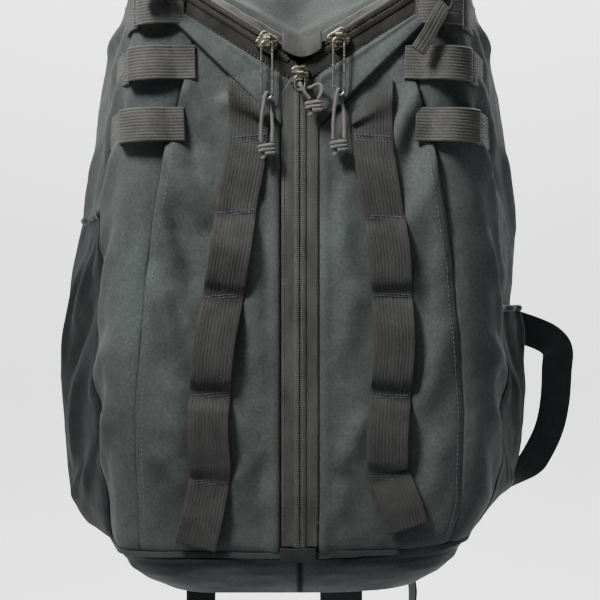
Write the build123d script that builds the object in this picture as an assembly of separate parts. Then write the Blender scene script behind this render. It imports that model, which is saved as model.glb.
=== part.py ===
"""Ski backpack with a Y-shaped three-zip front, hanging from its haul loop.

Everything is drawn in a working frame with the base of the bag at Z = 0, the wearer's side
towards +Y and the zipped front towards -Y. The parts are written out with the origin moved
to the underside of the haul loop, where a hook carries the pack. Millimetres.
"""
from build123d import *
from math import atan2, cos, degrees, radians, sin, sqrt
import os

# Driving dimensions -----------------------------------------------------------------------
WALL = 3.0  # laminated fabric with its lining
FRONT_Y = -112.0  # outer face of the front panels
BACK_Y = 100.0  # outer face of the back panel
HEM_Z = 31.0  # seam between the base and the walls
FRONT_CORNER_R = 42.0
REAR_CORNER_R = 30.0
# height, front face, half width at the front corner, half width at the rear corner, back face
SHELL = [
    (0, -72, 92, 128, 78),
    (14, -98, 118, 156, 94),
    (38, FRONT_Y, 132, 172, BACK_Y),
    (150, FRONT_Y, 140, 184, BACK_Y),
    (290, FRONT_Y, 132, 178, BACK_Y),
    (385, FRONT_Y, 122, 166, BACK_Y),
    (560, FRONT_Y, 100, 132, BACK_Y),
]

# Crown: height of its underside at X = 0, 50, 95 and 160, for each station along Y
CROWN_X = (0, 50, 95, 160)
CROWN = [
    (-130, (392, 423, 450.9, 466)),
    (FRONT_Y, (392, 423, 450.9, 466)),
    (-60, (440, 456, 469, 474)),
    (0, (476, 481, 483, 478)),
    (70, (494, 495, 490, 480)),
    (125, (487, 487, 483, 474)),
]
HINGE_Y = 70.0  # the lid turns about the seam at its rear edge
HINGE_GAP = 0.4
VEE_TIP_Z = 392.0
VEE_SLOPE = 0.62
VEE_ANGLE = degrees(atan2(VEE_SLOPE, 1))
# seam between a front panel and a side panel: distance from the centre, height
SEAM = ((118, HEM_Z), (121, 140), (112, 240), (98, 330), (80, 395))
SEAM_TOP_X = 76.0
YOKE_DEPTH = 40.0  # below the V, measured straight down
YOKE_END_X = 90.0
YOKE_END_DEPTH = 24.0

# Zips
TAPE_T = 1.2
TAPE_HALF = 13.5
COIL_HALF = 2.9
COIL_PROUD = 2.6
ZIP_GAP = 0.3  # between the two halves of a closed zip
ZIP_BOTTOM_Z = 40.0
SLOT_HALF = 5.0  # the panels stop short of the centre zip
SLIDER_CENTRE_Z = 382.0
SLIDER_SIDE_X = {"left": -24.0, "right": 28.0}
BRIDGE_OUT = 9.4  # pivot of a pull, measured out from the front panels
WIRE_R = 0.85
CORD_D = 2.6

# Webbing
WEB_T = 1.8
DAISY_W = 30.0
TACK = 4.5  # half the stitched length at each tack
# top, bottom, heights of the stitches and length of the free tail below the last one
DAISIES = {
    "left": ((-40, 366), (-67, 84), (366, 337, 283, 223, 151, 88), 44),
    "right": ((53, 364), (68, 84), (364, 337, 280, 224, 151, 92), 36),
}
DAISY_HEIGHTS = (3.0, 3.0, 8.0, 9.0, 8.0)  # how far each loop stands off the panel
LOOP_W = 25.0
LOOP_ROWS = (433.0, 393.0, 348.0)

# Haul loop, whose underside is the origin of the finished part
HAUL_Y = 88.0
HAUL_Z = 530.0
HAUL_W = 20.0

TO_ORIGIN = Pos(0, -HAUL_Y, -HAUL_Z)
SIDES = (("left", -1), ("right", 1))


# Small helpers ----------------------------------------------------------------------------
def block(x0, x1, y0, y1, z0, z1):
    """An upright box between two corners."""
    return Pos((x0 + x1) / 2, (y0 + y1) / 2, (z0 + z1) / 2) * Box(x1 - x0, y1 - y0, z1 - z0)


def prism_xz(outline, y0, y1):
    """A front-view outline run from y0 to y1."""
    face = make_face(Polyline(*[(x, y0, z) for x, z in outline], close=True))
    return extrude(face, amount=y1 - y0, dir=(0, 1, 0))


def largest(shape):
    return max(shape.solids(), key=lambda solid: solid.volume)


def strap(points, radii, width, thickness, across):
    """A flat strap along a run of straight lines and tangent arcs."""
    path = FilletPolyline(*points, radius=radii)
    start = Plane(origin=path @ 0, x_dir=across, z_dir=path % 0)
    return sweep(start * Rectangle(width, thickness), path=path)


def tube(points, radii, diameter):
    path = FilletPolyline(*points, radius=radii)
    start = Plane(origin=path @ 0, z_dir=path % 0)
    return sweep(start * Circle(diameter / 2), path=path)


# The bag's shape --------------------------------------------------------------------------
def shell_at(z):
    """Front face, half widths and back face at a height."""
    for low, high in zip(SHELL, SHELL[1:]):
        if z <= high[0]:
            break
    share = (z - low[0]) / (high[0] - low[0])
    return [a + (b - a) * share for a, b in zip(low[1:], high[1:])]


def shell_face(z, offset=0.0, bulge=(0.0, 0.0)):
    """The plan of the bag at a height, grown by offset, with each rear corner let out."""
    front, half_front, half_rear, back = shell_at(z)
    left, right = bulge
    plan = [
        (-half_front - offset, front - offset, z),
        (half_front + offset, front - offset, z),
        (half_rear + right + offset, back + offset, z),
        (-half_rear - left - offset, back + offset, z),
    ]
    face = make_face(Polyline(*plan, close=True))
    face = fillet([v for v in face.vertices() if v.Y < 0], FRONT_CORNER_R + offset)
    return fillet([v for v in face.vertices() if v.Y > 0], REAR_CORNER_R + offset)


def hull(offset=0.0, floor=0.0):
    heights = [max(level[0], floor) for level in SHELL]
    return loft([shell_face(z, offset) for z in heights], ruled=True)


def crown_at(y):
    for low, high in zip(CROWN, CROWN[1:]):
        if y <= high[0]:
            break
    share = (y - low[0]) / (high[0] - low[0])
    return [a + (b - a) * share for a, b in zip(low[1], high[1])]


def crown_layer(y_low, y_high, bottom, top=None, roof=None):
    """The crown between two heights over its underside, or up to a flat roof."""
    stations = [y_low, *[y for y, _ in CROWN if y_low < y < y_high], y_high]
    faces = []
    for y in stations:
        heights = crown_at(y)
        half = list(zip(CROWN_X, heights))
        under = [(-x, z) for x, z in reversed(half)] + half[1:]
        over = [(x, roof if roof else z + top) for x, z in reversed(under)]
        outline = [(x, y, z + bottom) for x, z in under] + [(x, y, z) for x, z in over]
        faces.append(make_face(Polyline(*outline, close=True)))
    return loft(faces, ruled=True)


def vee_band(side, low, high, x_in, x_out):
    """A band along one arm of the V, between two distances measured square to the arm."""
    rise = sqrt(1 + VEE_SLOPE**2)
    outline = []
    for x, across in ((x_in, low), (x_out, low), (x_out, high), (x_in, high)):
        outline.append((side * x, VEE_TIP_Z + VEE_SLOPE * x + across * rise))
    return prism_xz(outline, -190, -30)


def vee_height(x):
    """Height of the V line at a distance from the centre."""
    return VEE_TIP_Z + VEE_SLOPE * x


def front_outline(side):
    """Front view of a front panel: slot, hem, seam to the side panel, lower edge of the yoke."""
    outline = [(SLOT_HALF, HEM_Z), *SEAM, (SEAM_TOP_X, vee_height(SEAM_TOP_X) - YOKE_DEPTH),
               (SLOT_HALF, vee_height(SLOT_HALF) - YOKE_DEPTH)]
    return [(side * x, z) for x, z in outline]


def yoke_outline(side):
    """Front view of a yoke, run on above the V so that the crown trims its top."""
    above = 30
    outline = [(SLOT_HALF, vee_height(SLOT_HALF) - YOKE_DEPTH),
               (SEAM_TOP_X, vee_height(SEAM_TOP_X) - YOKE_DEPTH),
               (YOKE_END_X, vee_height(YOKE_END_X) - YOKE_END_DEPTH),
               (YOKE_END_X, vee_height(YOKE_END_X) + above),
               (SLOT_HALF, vee_height(SLOT_HALF) + above)]
    return [(side * x, z) for x, z in outline]


def make_shell(parts):
    """The sewn walls, base and crown."""
    outer = hull()
    shell = outer - hull(-WALL, WALL)
    walls = shell - crown_layer(-130, HINGE_Y, -HINGE_GAP, roof=600)
    walls = walls - crown_layer(HINGE_Y, 125, 0, roof=600)
    walls = walls & block(-300, 300, -200, 200, -1, 520)
    base = walls & block(-300, 300, -200, 200, -1, HEM_Z)
    upper = walls & block(-300, 300, -200, 200, HEM_Z, 520)
    parts["base_panel"] = largest(base)
    parts["back_panel"] = largest(upper & block(-300, 300, BACK_Y - WALL, 200, 0, 520))
    rest = upper & block(-300, 300, -200, BACK_Y - WALL, 0, 520)
    slot = block(-SLOT_HALF, SLOT_HALF, -200, -40, 0, 520)
    for name, side in SIDES:
        front = prism_xz(front_outline(side), -190, -30)
        yoke = prism_xz(yoke_outline(side), -190, -30)
        half = rest & block(min(0, side * 300), max(0, side * 300), -200, 200, 0, 520)
        parts[f"front_panel_{name}"] = largest(half & front)
        parts[f"yoke_{name}"] = largest(half & yoke)
        parts[f"side_panel_{name}"] = largest(half - front - yoke - slot)
    crown = crown_layer(-130, 125, 0, WALL) & outer
    parts["lid_panel"] = largest(crown & block(-300, 300, -200, HINGE_Y - HINGE_GAP, 0, 600))
    parts["crown_rear_strip"] = largest(crown & block(-300, 300, HINGE_Y, 200, 0, 600))
    binding = (hull(1.6) - outer) & block(-300, 300, -200, BACK_Y - 1, HEM_Z, HEM_Z + 6)
    parts["hem_binding"] = largest(binding)
    return outer


def make_pockets(parts, outer):
    """Stretch side pockets, let out from the side panels and open at the top."""
    reach = {"left": ((14, 0.3), (38, 17), (150, 20), (290, 22)),
             "right": ((14, 0.3), (38, 8), (150, 13), (290, 22))}
    mouth = {"left": 286.0, "right": 214.0}
    for name, side in SIDES:
        skins = []
        for grow in (2.0, 0.0):
            faces = []
            for z, out in reach[name]:
                bulge = (out, 0) if side < 0 else (0, out)
                faces.append(shell_face(z, grow, bulge))
            skins.append(loft(faces, ruled=True))
        keep = block(min(side * 125, side * 300), max(side * 125, side * 300), -60,
                     BACK_Y + 2, HEM_Z + 6.5, mouth[name])
        parts[f"side_pocket_{name}"] = largest(((skins[0] - skins[1]) & keep) - outer)


# Zips -------------------------------------------------------------------------------------
def make_zips(parts, outer):
    skin = hull(TAPE_T) - outer
    rise = sqrt(1 + VEE_SLOPE**2)
    for name, side in SIDES:
        tape = skin & vee_band(side, -TAPE_HALF - 1.5, -ZIP_GAP, 8, 126)
        coil = vee_band(side, -COIL_HALF, -ZIP_GAP, 8, 78)
        coil = coil & block(-200, 200, FRONT_Y - COIL_PROUD, FRONT_Y - TAPE_T, 300, 500)
        parts[f"diagonal_stringer_{name}"] = largest(tape + coil)
        lid_tape = crown_layer(FRONT_Y, FRONT_Y + 17, WALL, WALL + TAPE_T)
        span = block(min(side * 8, side * 126), max(side * 8, side * 126), -190, -30, 300, 520)
        lid_tape = lid_tape & span & outer
        lid_coil = vee_band(side, ZIP_GAP, COIL_HALF, 8, 78)
        lid_coil = lid_coil & block(-200, 200, FRONT_Y - COIL_PROUD, FRONT_Y, 300, 500)
        lip = vee_band(side, 0.6, 3.8 / rise + TAPE_T, 8, 78)
        lip = lip & block(-200, 200, FRONT_Y - 0.8, FRONT_Y, 300, 500)
        parts[f"lid_stringer_{name}"] = largest(lid_tape + lid_coil + lip)
        x_in, x_out = side * ZIP_GAP / 2, side * TAPE_HALF
        x_coil = side * COIL_HALF
        top = VEE_TIP_Z - 1
        half = block(min(x_in, x_out), max(x_in, x_out), FRONT_Y - TAPE_T, FRONT_Y,
                     ZIP_BOTTOM_Z, top)
        half = half + block(min(x_in, x_coil), max(x_in, x_coil), FRONT_Y - COIL_PROUD,
                            FRONT_Y - TAPE_T, ZIP_BOTTOM_Z, top)
        half = half - vee_band(side, -TAPE_HALF - 1.8, 20, 7.7, 130)
        parts[f"centre_stringer_{name}"] = largest(half)
    nose = block(-13, 16, FRONT_Y - 4.6, FRONT_Y - 3.2, 395, 410)
    nose = fillet(nose.edges().filter_by(Axis.Y).group_by(Axis.Z)[0], 6)
    nose = nose + block(-6, 6, FRONT_Y - 3.4, FRONT_Y, 393, 395.5)
    nose = nose + block(-6, 6, FRONT_Y - 3.4, FRONT_Y - 3, 393, 397)
    parts["nose_band"] = largest(nose)
    tab = block(-15, 13, FRONT_Y - 2.4, FRONT_Y - 1.6, HEM_Z - 2, HEM_Z + 8)
    tab = tab + block(-15, 13, FRONT_Y - 2.4, FRONT_Y, HEM_Z + 6, HEM_Z + 8.8)
    parts["zip_end_tab"] = largest(tab)


def slider(angle):
    """A slider riding over the coil, with its bridge hanging straight whatever the angle."""
    shape = Box(13, 4, 15)
    shape = fillet(shape.edges().filter_by(Axis.Y), 3)
    shape = fillet(shape.faces().sort_by(Axis.Y)[0].edges(), 0.8)
    shape = Pos(0, -3.6, 0) * shape - Pos(0, -2.35, 0) * Box(6.8, 1.7, 20)
    shape = Rot(0, angle, 0) * shape
    bridge = Pos(0, -5.6 - 2.9, 0) * Box(4.5, 5.9, 8)
    bridge = fillet(bridge.edges().filter_by(Axis.X).sort_by(Axis.Y)[:2], 2.6)
    bore = Pos(0, -BRIDGE_OUT, 0) * Rot(0, 90, 0) * Cylinder(1.4, 20)
    return shape + bridge - bore


def wire_loop(half_width, drop):
    """A closed loop of wire, hanging from a bar that runs along X through the bridge."""
    outline = Polyline(
        (0, 0, 0), (half_width, 0, 0), (half_width, 0, -drop), (-half_width, 0, -drop),
        (-half_width, 0, 0), close=True,
    )
    face = make_face(outline)
    face = fillet([v for v in face.vertices() if abs(v.X) > 0.1], half_width * 0.75)
    path = face.face().outer_wire()
    start = Plane(origin=path @ 0, z_dir=path % 0)
    return sweep(start * Circle(WIRE_R), path=path)


def knot(x, z, length, radius):
    shape = Pos(x, -1.5, z) * Rot(0, 90, 0) * Cylinder(radius, length)
    return fillet(shape.edges().filter_by(GeomType.CIRCLE), radius * 0.5)


def make_pulls(parts):
    spots = {"centre": (0.0, SLIDER_CENTRE_Z, 0.0)}
    for name, side in SIDES:
        x = SLIDER_SIDE_X[name]
        spots[name] = (x, VEE_TIP_Z + VEE_SLOPE * abs(x), side * (90 - VEE_ANGLE))
    hanging = [
        (-4.0, -1.5, -73), (-4.2, -2.2, -58), (-2.2, -3.2, -46), (-1.0, -2.7, -37.4),
        (1.0, 2.5, -37.4), (2.2, 2.7, -46), (4.4, 0.4, -58), (4.0, -1.5, -73),
    ]
    hanging_radii = [14, 10, 2.4, 2.4, 8, 12]
    short = [
        (7.0, -1.5, -17), (3.2, -3.0, -12), (-0.6, -2.9, -5.5), (0.9, 2.3, -5.4),
        (6.0, 2.3, -9.5), (13.5, 0.5, -5), (17.5, -1.0, -10.5), (13.0, -1.5, -17),
    ]
    short_radii = [5, 2.6, 2.4, 3, 4, 3.5]
    for name, (x, z, angle) in spots.items():
        parts[f"zip_slider_{name}"] = Pos(x, FRONT_Y, z) * slider(angle)
        here = Pos(x, FRONT_Y - BRIDGE_OUT, z)
        side = name != "centre"
        parts[f"pull_wire_{name}"] = here * wire_loop(4.0 if side else 3.6, 41 if side else 10)
        tied = knot(0, -78, 13, 5.5) if side else knot(10, -22, 12, 5.5)
        parts[f"pull_knot_{name}"] = here * tied
        cord = tube(hanging, hanging_radii, CORD_D) if side else tube(short, short_radii, CORD_D)
        parts[f"pull_cord_{name}"] = here * largest(cord - tied)


# Webbing ----------------------------------------------------------------------------------
def daisy(top, bottom, tacks, heights, tail):
    """A strap tacked down at intervals, standing off the panel between the tacks."""
    lean = degrees(atan2(bottom[0] - top[0], top[1] - bottom[1]))
    place = Pos(top[0], FRONT_Y, top[1]) * Rot(0, -lean, 0)
    level = WEB_T / 2
    points, radii = [(0, -level, 0)], []
    for upper, lower, height in zip(tacks, tacks[1:], heights):
        step = min(7.0, (upper - lower) / 4)
        for z, out in ((upper - TACK, 0), (upper - TACK - step, height),
                       (lower + TACK + step, height), (lower + TACK, 0)):
            points.append((0, -level - out, z - top[1]))
            radii.append(3.5)
    end = points[-1][2]
    points += [(0, -level, end - 2 * TACK), (0, -level - 7, end - 20),
               (0, -level - 7, end - tail)]
    radii += [3.5, 5]
    shape = strap(points, radii, DAISY_W, WEB_T, (1, 0, 0))
    stitches = []
    for z in tacks[1:]:
        stitch = Pos(0, -WEB_T - 0.4, z - top[1]) * Box(DAISY_W - 5, 0.8, 3)
        stitches.append(place * stitch)
    return place * shape, stitches


def corner_point(side, z, angle, out):
    """A point round a front corner: angle 0 faces the front, and out is beyond the panel."""
    front, half_front, half_rear, back = shell_at(z)
    lean = atan2(half_rear - half_front, back - front)
    centre_x = half_front + (-FRONT_CORNER_R + FRONT_CORNER_R * sin(lean)) / cos(lean)
    reach = FRONT_CORNER_R + out
    x = centre_x + reach * sin(radians(angle))
    return (side * x, front + FRONT_CORNER_R - reach * cos(radians(angle)))


def side_loop(side, z, inner_x, tack_angle):
    """A strap round a front corner, flat on the side panel and looped towards the front."""
    low = z - LOOP_W / 2
    half = WEB_T / 2 + TAPE_T + 0.2
    front, half_front, half_rear, back = shell_at(low)
    lean = atan2(half_rear - half_front, back - front)
    flat = corner_point(side, low, 90 - degrees(lean), half)
    behind = (flat[0] + side * 45 * sin(lean), flat[1] + 45 * cos(lean))
    points = [
        behind,
        corner_point(side, low, tack_angle + 7, half),
        corner_point(side, low, tack_angle, half),
        corner_point(side, low, tack_angle - 13, 11),
        corner_point(side, low, 22, 11),
        corner_point(side, low, 4, half),
        (side * inner_x, FRONT_Y - half),
    ]
    path = [(x, y, z) for x, y in points]
    return strap(path, [10, 3, 5, 6, 5], LOOP_W, WEB_T, (0, 0, 1))


def make_front_webbing(parts, outer):
    stitches = []
    for name, (top, bottom, tacks, tail) in DAISIES.items():
        shape, sewn = daisy(top, bottom, tacks, DAISY_HEIGHTS, tail)
        parts[f"daisy_webbing_{name}"] = shape
        stitches += sewn
    inner = {433.0: 84, 393.0: 76, 348.0: 84}
    tack_angles = {433.0: 58, 393.0: 60, 348.0: 62}
    for name, side in SIDES:
        rows = [side_loop(side, z, inner[z], tack_angles[z]) - outer for z in LOOP_ROWS]
        parts[f"side_loops_{name}"] = Compound([largest(row) for row in rows])
    parts["bartacks"] = Compound([largest(stitch) for stitch in stitches])
    tether = Rot(0, -35, 0) * Box(10, 2.4, 40)
    parts["tether_strap"] = Pos(95, FRONT_Y - 14, 416) * Rot(0, 0, 20) * tether
    pin = Pos(-106, FRONT_Y - 19, 445) * Rot(0, 70, 0) * Cylinder(6, 22)
    parts["cord_toggle"] = fillet(pin.edges().filter_by(GeomType.CIRCLE), 2.5)


def make_haul_loop(parts):
    low = 498.4
    points = [(-34, HAUL_Y, low), (-46, HAUL_Y, low), (-42, HAUL_Y, HAUL_Z + 0.9),
              (42, HAUL_Y, HAUL_Z + 0.9), (46, HAUL_Y, low), (34, HAUL_Y, low)]
    parts["haul_loop"] = strap(points, [6, 22, 22, 6], HAUL_W, WEB_T, (0, 1, 0))


# Carrying side ----------------------------------------------------------------------------
def make_back_system(parts):
    sheet = block(-112, 112, 95.3, 97.0, 45, 470)
    parts["frame_sheet"] = fillet(sheet.edges().filter_by(Axis.Y), 30)
    stay = [block(x - 6, x + 6, 92.3, 95.3, 55, 460) for x in (-55, 55)]
    parts["frame_stays"] = Compound([largest(s) for s in stay])
    pad = block(-118, 118, BACK_Y, BACK_Y + 13, 62, 425)
    pad = fillet(pad.edges().filter_by(Axis.Y), 35)
    pad = pad - block(-14, 14, BACK_Y + 5, BACK_Y + 20, 50, 430)
    parts["back_pad"] = largest(pad)
    locks, lifters = [], []
    for name, side in SIDES:
        turn = Pos(side * 52, 0, 452) * Rot(0, -side * 9, 0)
        run = [(0, BACK_Y + 6, 0), (0, BACK_Y + 24, 10), (0, BACK_Y + 46, -20),
               (0, BACK_Y + 52, -110), (0, BACK_Y + 40, -215)]
        pad_strap = strap(run, [10, 22, 60], 62, 11, (1, 0, 0))
        parts[f"shoulder_strap_{name}"] = turn * pad_strap
        lock = Box(34, 5, 26) - Pos(0, 0, -5) * Box(27, 6, 5) - Pos(0, 0, 5) * Box(27, 6, 5)
        lock = fillet(lock.edges().filter_by(Axis.Y).group_by(Axis.Z)[0], 3)
        locks.append(turn * Pos(0, BACK_Y + 38.4, -229.5) * Rot(6.5, 0, 0) * lock)
        lifter = strap([(side * 62, BACK_Y + 0.9, 470), (side * 62, BACK_Y + 22, 478),
                        (side * 62, BACK_Y + 44, 462)], [12], 20, WEB_T, (1, 0, 0))
        lifters.append(lifter)
    make_lower_webbing(parts)
    parts["ladder_locks"] = Compound([largest(x) for x in locks])
    parts["load_lifters"] = Compound([largest(x) for x in lifters])


def make_lower_webbing(parts):
    """The adjusters from the shoulder straps to the foot of the bag.

    The left one lies behind the bag. The right one stands out beside it: it runs out flat,
    folds over and hangs down to its anchor.
    """
    hang = [(-150, BACK_Y + 16, 36), (-158, BACK_Y + 18, 62), (-166, BACK_Y + 21, 110),
            (-164, BACK_Y + 26, 168), (-146, BACK_Y + 32, 204), (-116, BACK_Y + 37, 214)]
    parts["lower_webbing_left"] = strap(hang, [30, 60, 40, 22], LOOP_W, WEB_T, (0, 1, 0))
    out = [(116, 202), (180, 187), (209, 183), (232, 172), (235, 184), (226, 194), (186, 212),
           (116, 227)]
    top = BACK_Y + 31
    run_out = prism_xz(out, top, top + WEB_T)
    down = [(209, 5), (232, -6), (236, -8), (236, -34), (230, -70), (214, -104), (176, -152),
            (160, -148), (190, -112), (204, -78), (208, -40)]
    hanging = prism_xz([(x, z) for x, z in down], 0, WEB_T)
    hanging = Pos(0, top + WEB_T - 0.3, 178) * Rot(9, 0, 0) * hanging
    parts["lower_webbing_right"] = run_out + hanging


def buckle_half(male):
    """One half of a side-release buckle, its webbing slot at the top and its mouth below."""
    if male:
        plate = fillet((Pos(0, 0, -9) * Box(32, 6, 18)).edges().filter_by(Axis.Y), 3)
        prongs = [Pos(x, 0, -27) * Box(3.4, 4.4, 22) for x in (-9.2, 0, 9.2)]
        shape = plate + prongs - Pos(0, 0, -6) * Box(26, 10, 4.4)
        return shape
    shell = fillet((Pos(0, 0, -20) * Box(36, 9.6, 40)).edges().filter_by(Axis.Y), 5)
    shell = shell - Pos(0, 0, -27) * Box(26.8, 5.4, 27) - Pos(0, 0, -6) * Box(26, 20, 4.4)
    return shell


def make_belts(parts):
    """The hip belt's two webbing halves, hanging unbuckled below the base."""
    y = BACK_Y + 3.2
    fold = Pos(0, y, 36) * Rot(0, 90, 0) * Cylinder(WEB_T / 2, LOOP_W)
    left = block(-97, -72, y - 0.9, y + 0.9, -88, 36) + Pos(-84.5, 0, 0) * fold
    parts["hip_webbing_left"] = left + block(-97, -72, y - 3.1, y - 0.9, 26, 36)
    parts["hip_buckle_male"] = Pos(-84.5, y, -88.2) * buckle_half(True)
    right = block(22.5, 47.5, y - 0.9, y + 0.9, 0, 36) + Pos(35, 0, 0) * fold
    parts["hip_webbing_right"] = right + block(22.5, 47.5, y - 3.1, y - 0.9, 26, 36)
    parts["hip_buckle_female"] = Pos(35, y, -0.2) * buckle_half(False)
    parts["hip_tail"] = block(96, 97.8, y - 0.8, y + 24.2, -78, 34)


def make_sternum_strap(parts):
    """Two webbing halves across the shoulder straps, joined by a buckle."""
    y = BACK_Y + 60.5
    z = 372
    turn = Pos(0, y, z) * Rot(0, 90, 0)
    parts["sternum_buckle_female"] = turn * Pos(0, 0, 20) * buckle_half(False)
    parts["sternum_buckle_male"] = turn * Pos(0, 0, -38.6) * Rot(180, 0, 0) * buckle_half(True)
    parts["sternum_webbing_right"] = block(20.5, 96, y - 0.9, y + 0.9, z - 10, z + 10)
    parts["sternum_webbing_left"] = block(-98, -39, y - 0.9, y + 0.9, z - 10, z + 10)


def main():
    parts = {}
    outer = make_shell(parts)
    make_pockets(parts, outer)
    make_zips(parts, outer)
    make_pulls(parts)
    make_front_webbing(parts, outer)
    make_haul_loop(parts)
    make_back_system(parts)
    make_belts(parts)
    make_sternum_strap(parts)
    os.makedirs("parts", exist_ok=True)
    for name, shape in parts.items():
        export_step(TO_ORIGIN * shape, f"parts/{name}.step")
    print(len(parts), "parts")


main()
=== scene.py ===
"""The looks of the ski backpack: cloth panels with folds and seams, ribbed webbing, coil zips,
metal sliders, woven pull cords, padded straps and a plain pale studio.

Places are written in the bag's own working frame (millimetres, base of the bag at Z = 0,
front towards -Y) and P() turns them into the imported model's frame in metres.
"""
import math

import bpy
import numpy as np
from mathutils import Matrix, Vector


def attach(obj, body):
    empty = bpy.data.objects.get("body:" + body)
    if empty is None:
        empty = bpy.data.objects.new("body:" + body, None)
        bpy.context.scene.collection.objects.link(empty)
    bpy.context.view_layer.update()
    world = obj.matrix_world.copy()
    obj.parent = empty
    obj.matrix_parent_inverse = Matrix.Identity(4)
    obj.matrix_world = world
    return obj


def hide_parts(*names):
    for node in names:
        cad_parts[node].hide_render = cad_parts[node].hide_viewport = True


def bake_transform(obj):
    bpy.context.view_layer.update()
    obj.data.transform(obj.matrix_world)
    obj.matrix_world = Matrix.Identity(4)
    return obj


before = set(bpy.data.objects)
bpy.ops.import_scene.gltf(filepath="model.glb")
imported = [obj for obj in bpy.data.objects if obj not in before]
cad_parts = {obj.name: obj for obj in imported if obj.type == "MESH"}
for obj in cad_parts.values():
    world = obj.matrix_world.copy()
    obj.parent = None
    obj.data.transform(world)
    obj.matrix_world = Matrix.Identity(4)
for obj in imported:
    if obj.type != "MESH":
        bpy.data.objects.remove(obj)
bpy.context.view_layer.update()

# Driving dimensions, in millimetres -------------------------------------------------------
HAUL_Y, HAUL_Z = 88.0, 530.0
FRONT_Y, BACK_Y, HEM_Z = -112.0, 100.0, 31.0
FRONT_R, REAR_R = 42.0, 30.0
VEE_TIP, VEE_SLOPE = 392.0, 0.62
YOKE_EDGE_Z, YOKE_EDGE_SLOPE = 334, 0.97
ZIP_EDGE = 14.2  # the front panels start here, beside the centre zip
LID_FRONT_Y, HINGE_Y = -102.0, 70.0
BASE_Y = 3  # middle of the base, front to back
WEB_T, DAISY_W, LOOP_W = 1.8, 30.0, 25.0
BRIDGE_OUT = 9.4  # the sliders' bridges, in front of the bag
CORD_D = 2.6
# height, front face, half width at the front corner, at the rear corner, back face
SHELL = np.array([
    (0, -72, 92, 128, 78), (14, -98, 118, 156, 94), (38, -112, 132, 172, 100),
    (150, -112, 140, 184, 100), (290, -112, 132, 178, 100), (385, -112, 122, 166, 100),
    (560, -112, 100, 132, 100)], dtype=float)
# the crown's height over a grid of places from the middle (CROWN_X) and the front (CROWN_Y)
CROWN_X = np.array([0, 50, 95, 160], dtype=float)
CROWN_Y = np.array([-112, -60, 0, 70, 125], dtype=float)
CROWN_H = np.array([
    (392, 423, 450.9, 466), (440, 456, 469, 474), (476, 481, 483, 478),
    (494, 495, 490, 480), (487, 487, 483, 474)], dtype=float)
# front-view seam between a front panel and a side panel: height, distance from the centre
SEAM = np.array([(31, 118), (140, 121), (240, 112), (330, 98), (395, 80), (470, 62)], float)
SIDES = (("left", -1), ("right", 1))
FORWARD = (0, -1.0, 0)
CLOTH_T = 1.6  # cloth with its lining


def P(x, y, z):
    """A working-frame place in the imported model's frame, in metres."""
    return Vector((x / 1000, (y - HAUL_Y) / 1000, (z - HAUL_Z) / 1000))


def share(t):
    """t held between 0 and 1."""
    return np.clip(t, 0, 1)


def smoothstep(t):
    t = share(t)
    return t * t * (3 - 2 * t)


def bell(t, width):
    """A smooth hump: 1 where t is 0, fading away over width."""
    return np.exp(-(t / width) ** 2)


def grid(rows, cols, low=0):
    """Shares down the rows (0 to 1) and across the columns (low to 1) of a grid."""
    return np.meshgrid(np.linspace(0, 1, rows), np.linspace(low, 1, cols), indexing="ij")


def stacked(x, y, z):
    return np.stack([x, y, z], axis=-1)


def lengths(points):
    """Distance along a line at each of its points."""
    return np.concatenate([[0], np.cumsum(np.linalg.norm(np.diff(points, axis=0), axis=1))])


def unit_rows(vectors):
    """Each row scaled to length 1."""
    return vectors / np.linalg.norm(vectors, axis=1, keepdims=True)


def read_along(at, step, values):
    """Rows of values read at distances along a line, given its lengths()."""
    return stacked(*(np.interp(at, step, values[:, c]) for c in range(3)))


def to_row(points):
    """Working-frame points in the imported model's frame, the foot sagging to one side."""
    shifted = np.asarray(points, float).copy()
    right = np.clip(shifted[..., 0], 0, 200)
    low = smoothstep((78 - shifted[..., 2]) / 55)
    above = smoothstep((shifted[..., 2] + 30) / 30)
    shifted[..., 0] -= 0.085 * right * low * above
    shifted[..., 2] += 11 * (right / 150) ** 2 * low * above
    shifted[..., 1] -= HAUL_Y
    shifted[..., 2] -= HAUL_Z
    return shifted / 1000


# Node materials ---------------------------------------------------------------------------
class Tree:
    """A short way to write a node tree."""

    def __init__(self, tree):
        self.tree = tree

    def add(self, kind, **values):
        node = self.tree.nodes.new(kind)
        for key, value in values.items():
            if hasattr(node, key):
                setattr(node, key, value)
            else:
                node.inputs[key].default_value = value
        return node

    def link(self, a, b):
        self.tree.links.new(a, b)

    def ramp(self, value, low, high, stops=(0.35, 0.65)):
        node = self.add("ShaderNodeValToRGB")
        for end, place, color in zip(node.color_ramp.elements, stops, (low, high)):
            end.position = place
            end.color = (*color, 1)
        self.link(value, node.inputs["Fac"])
        return node.outputs["Color"]

    def math(self, operation, *values):
        node = self.add("ShaderNodeMath", operation=operation)
        for slot, value in enumerate(values):
            if isinstance(value, (int, float)):
                node.inputs[slot].default_value = value
            else:
                self.link(value, node.inputs[slot])
        return node.outputs[0]


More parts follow.
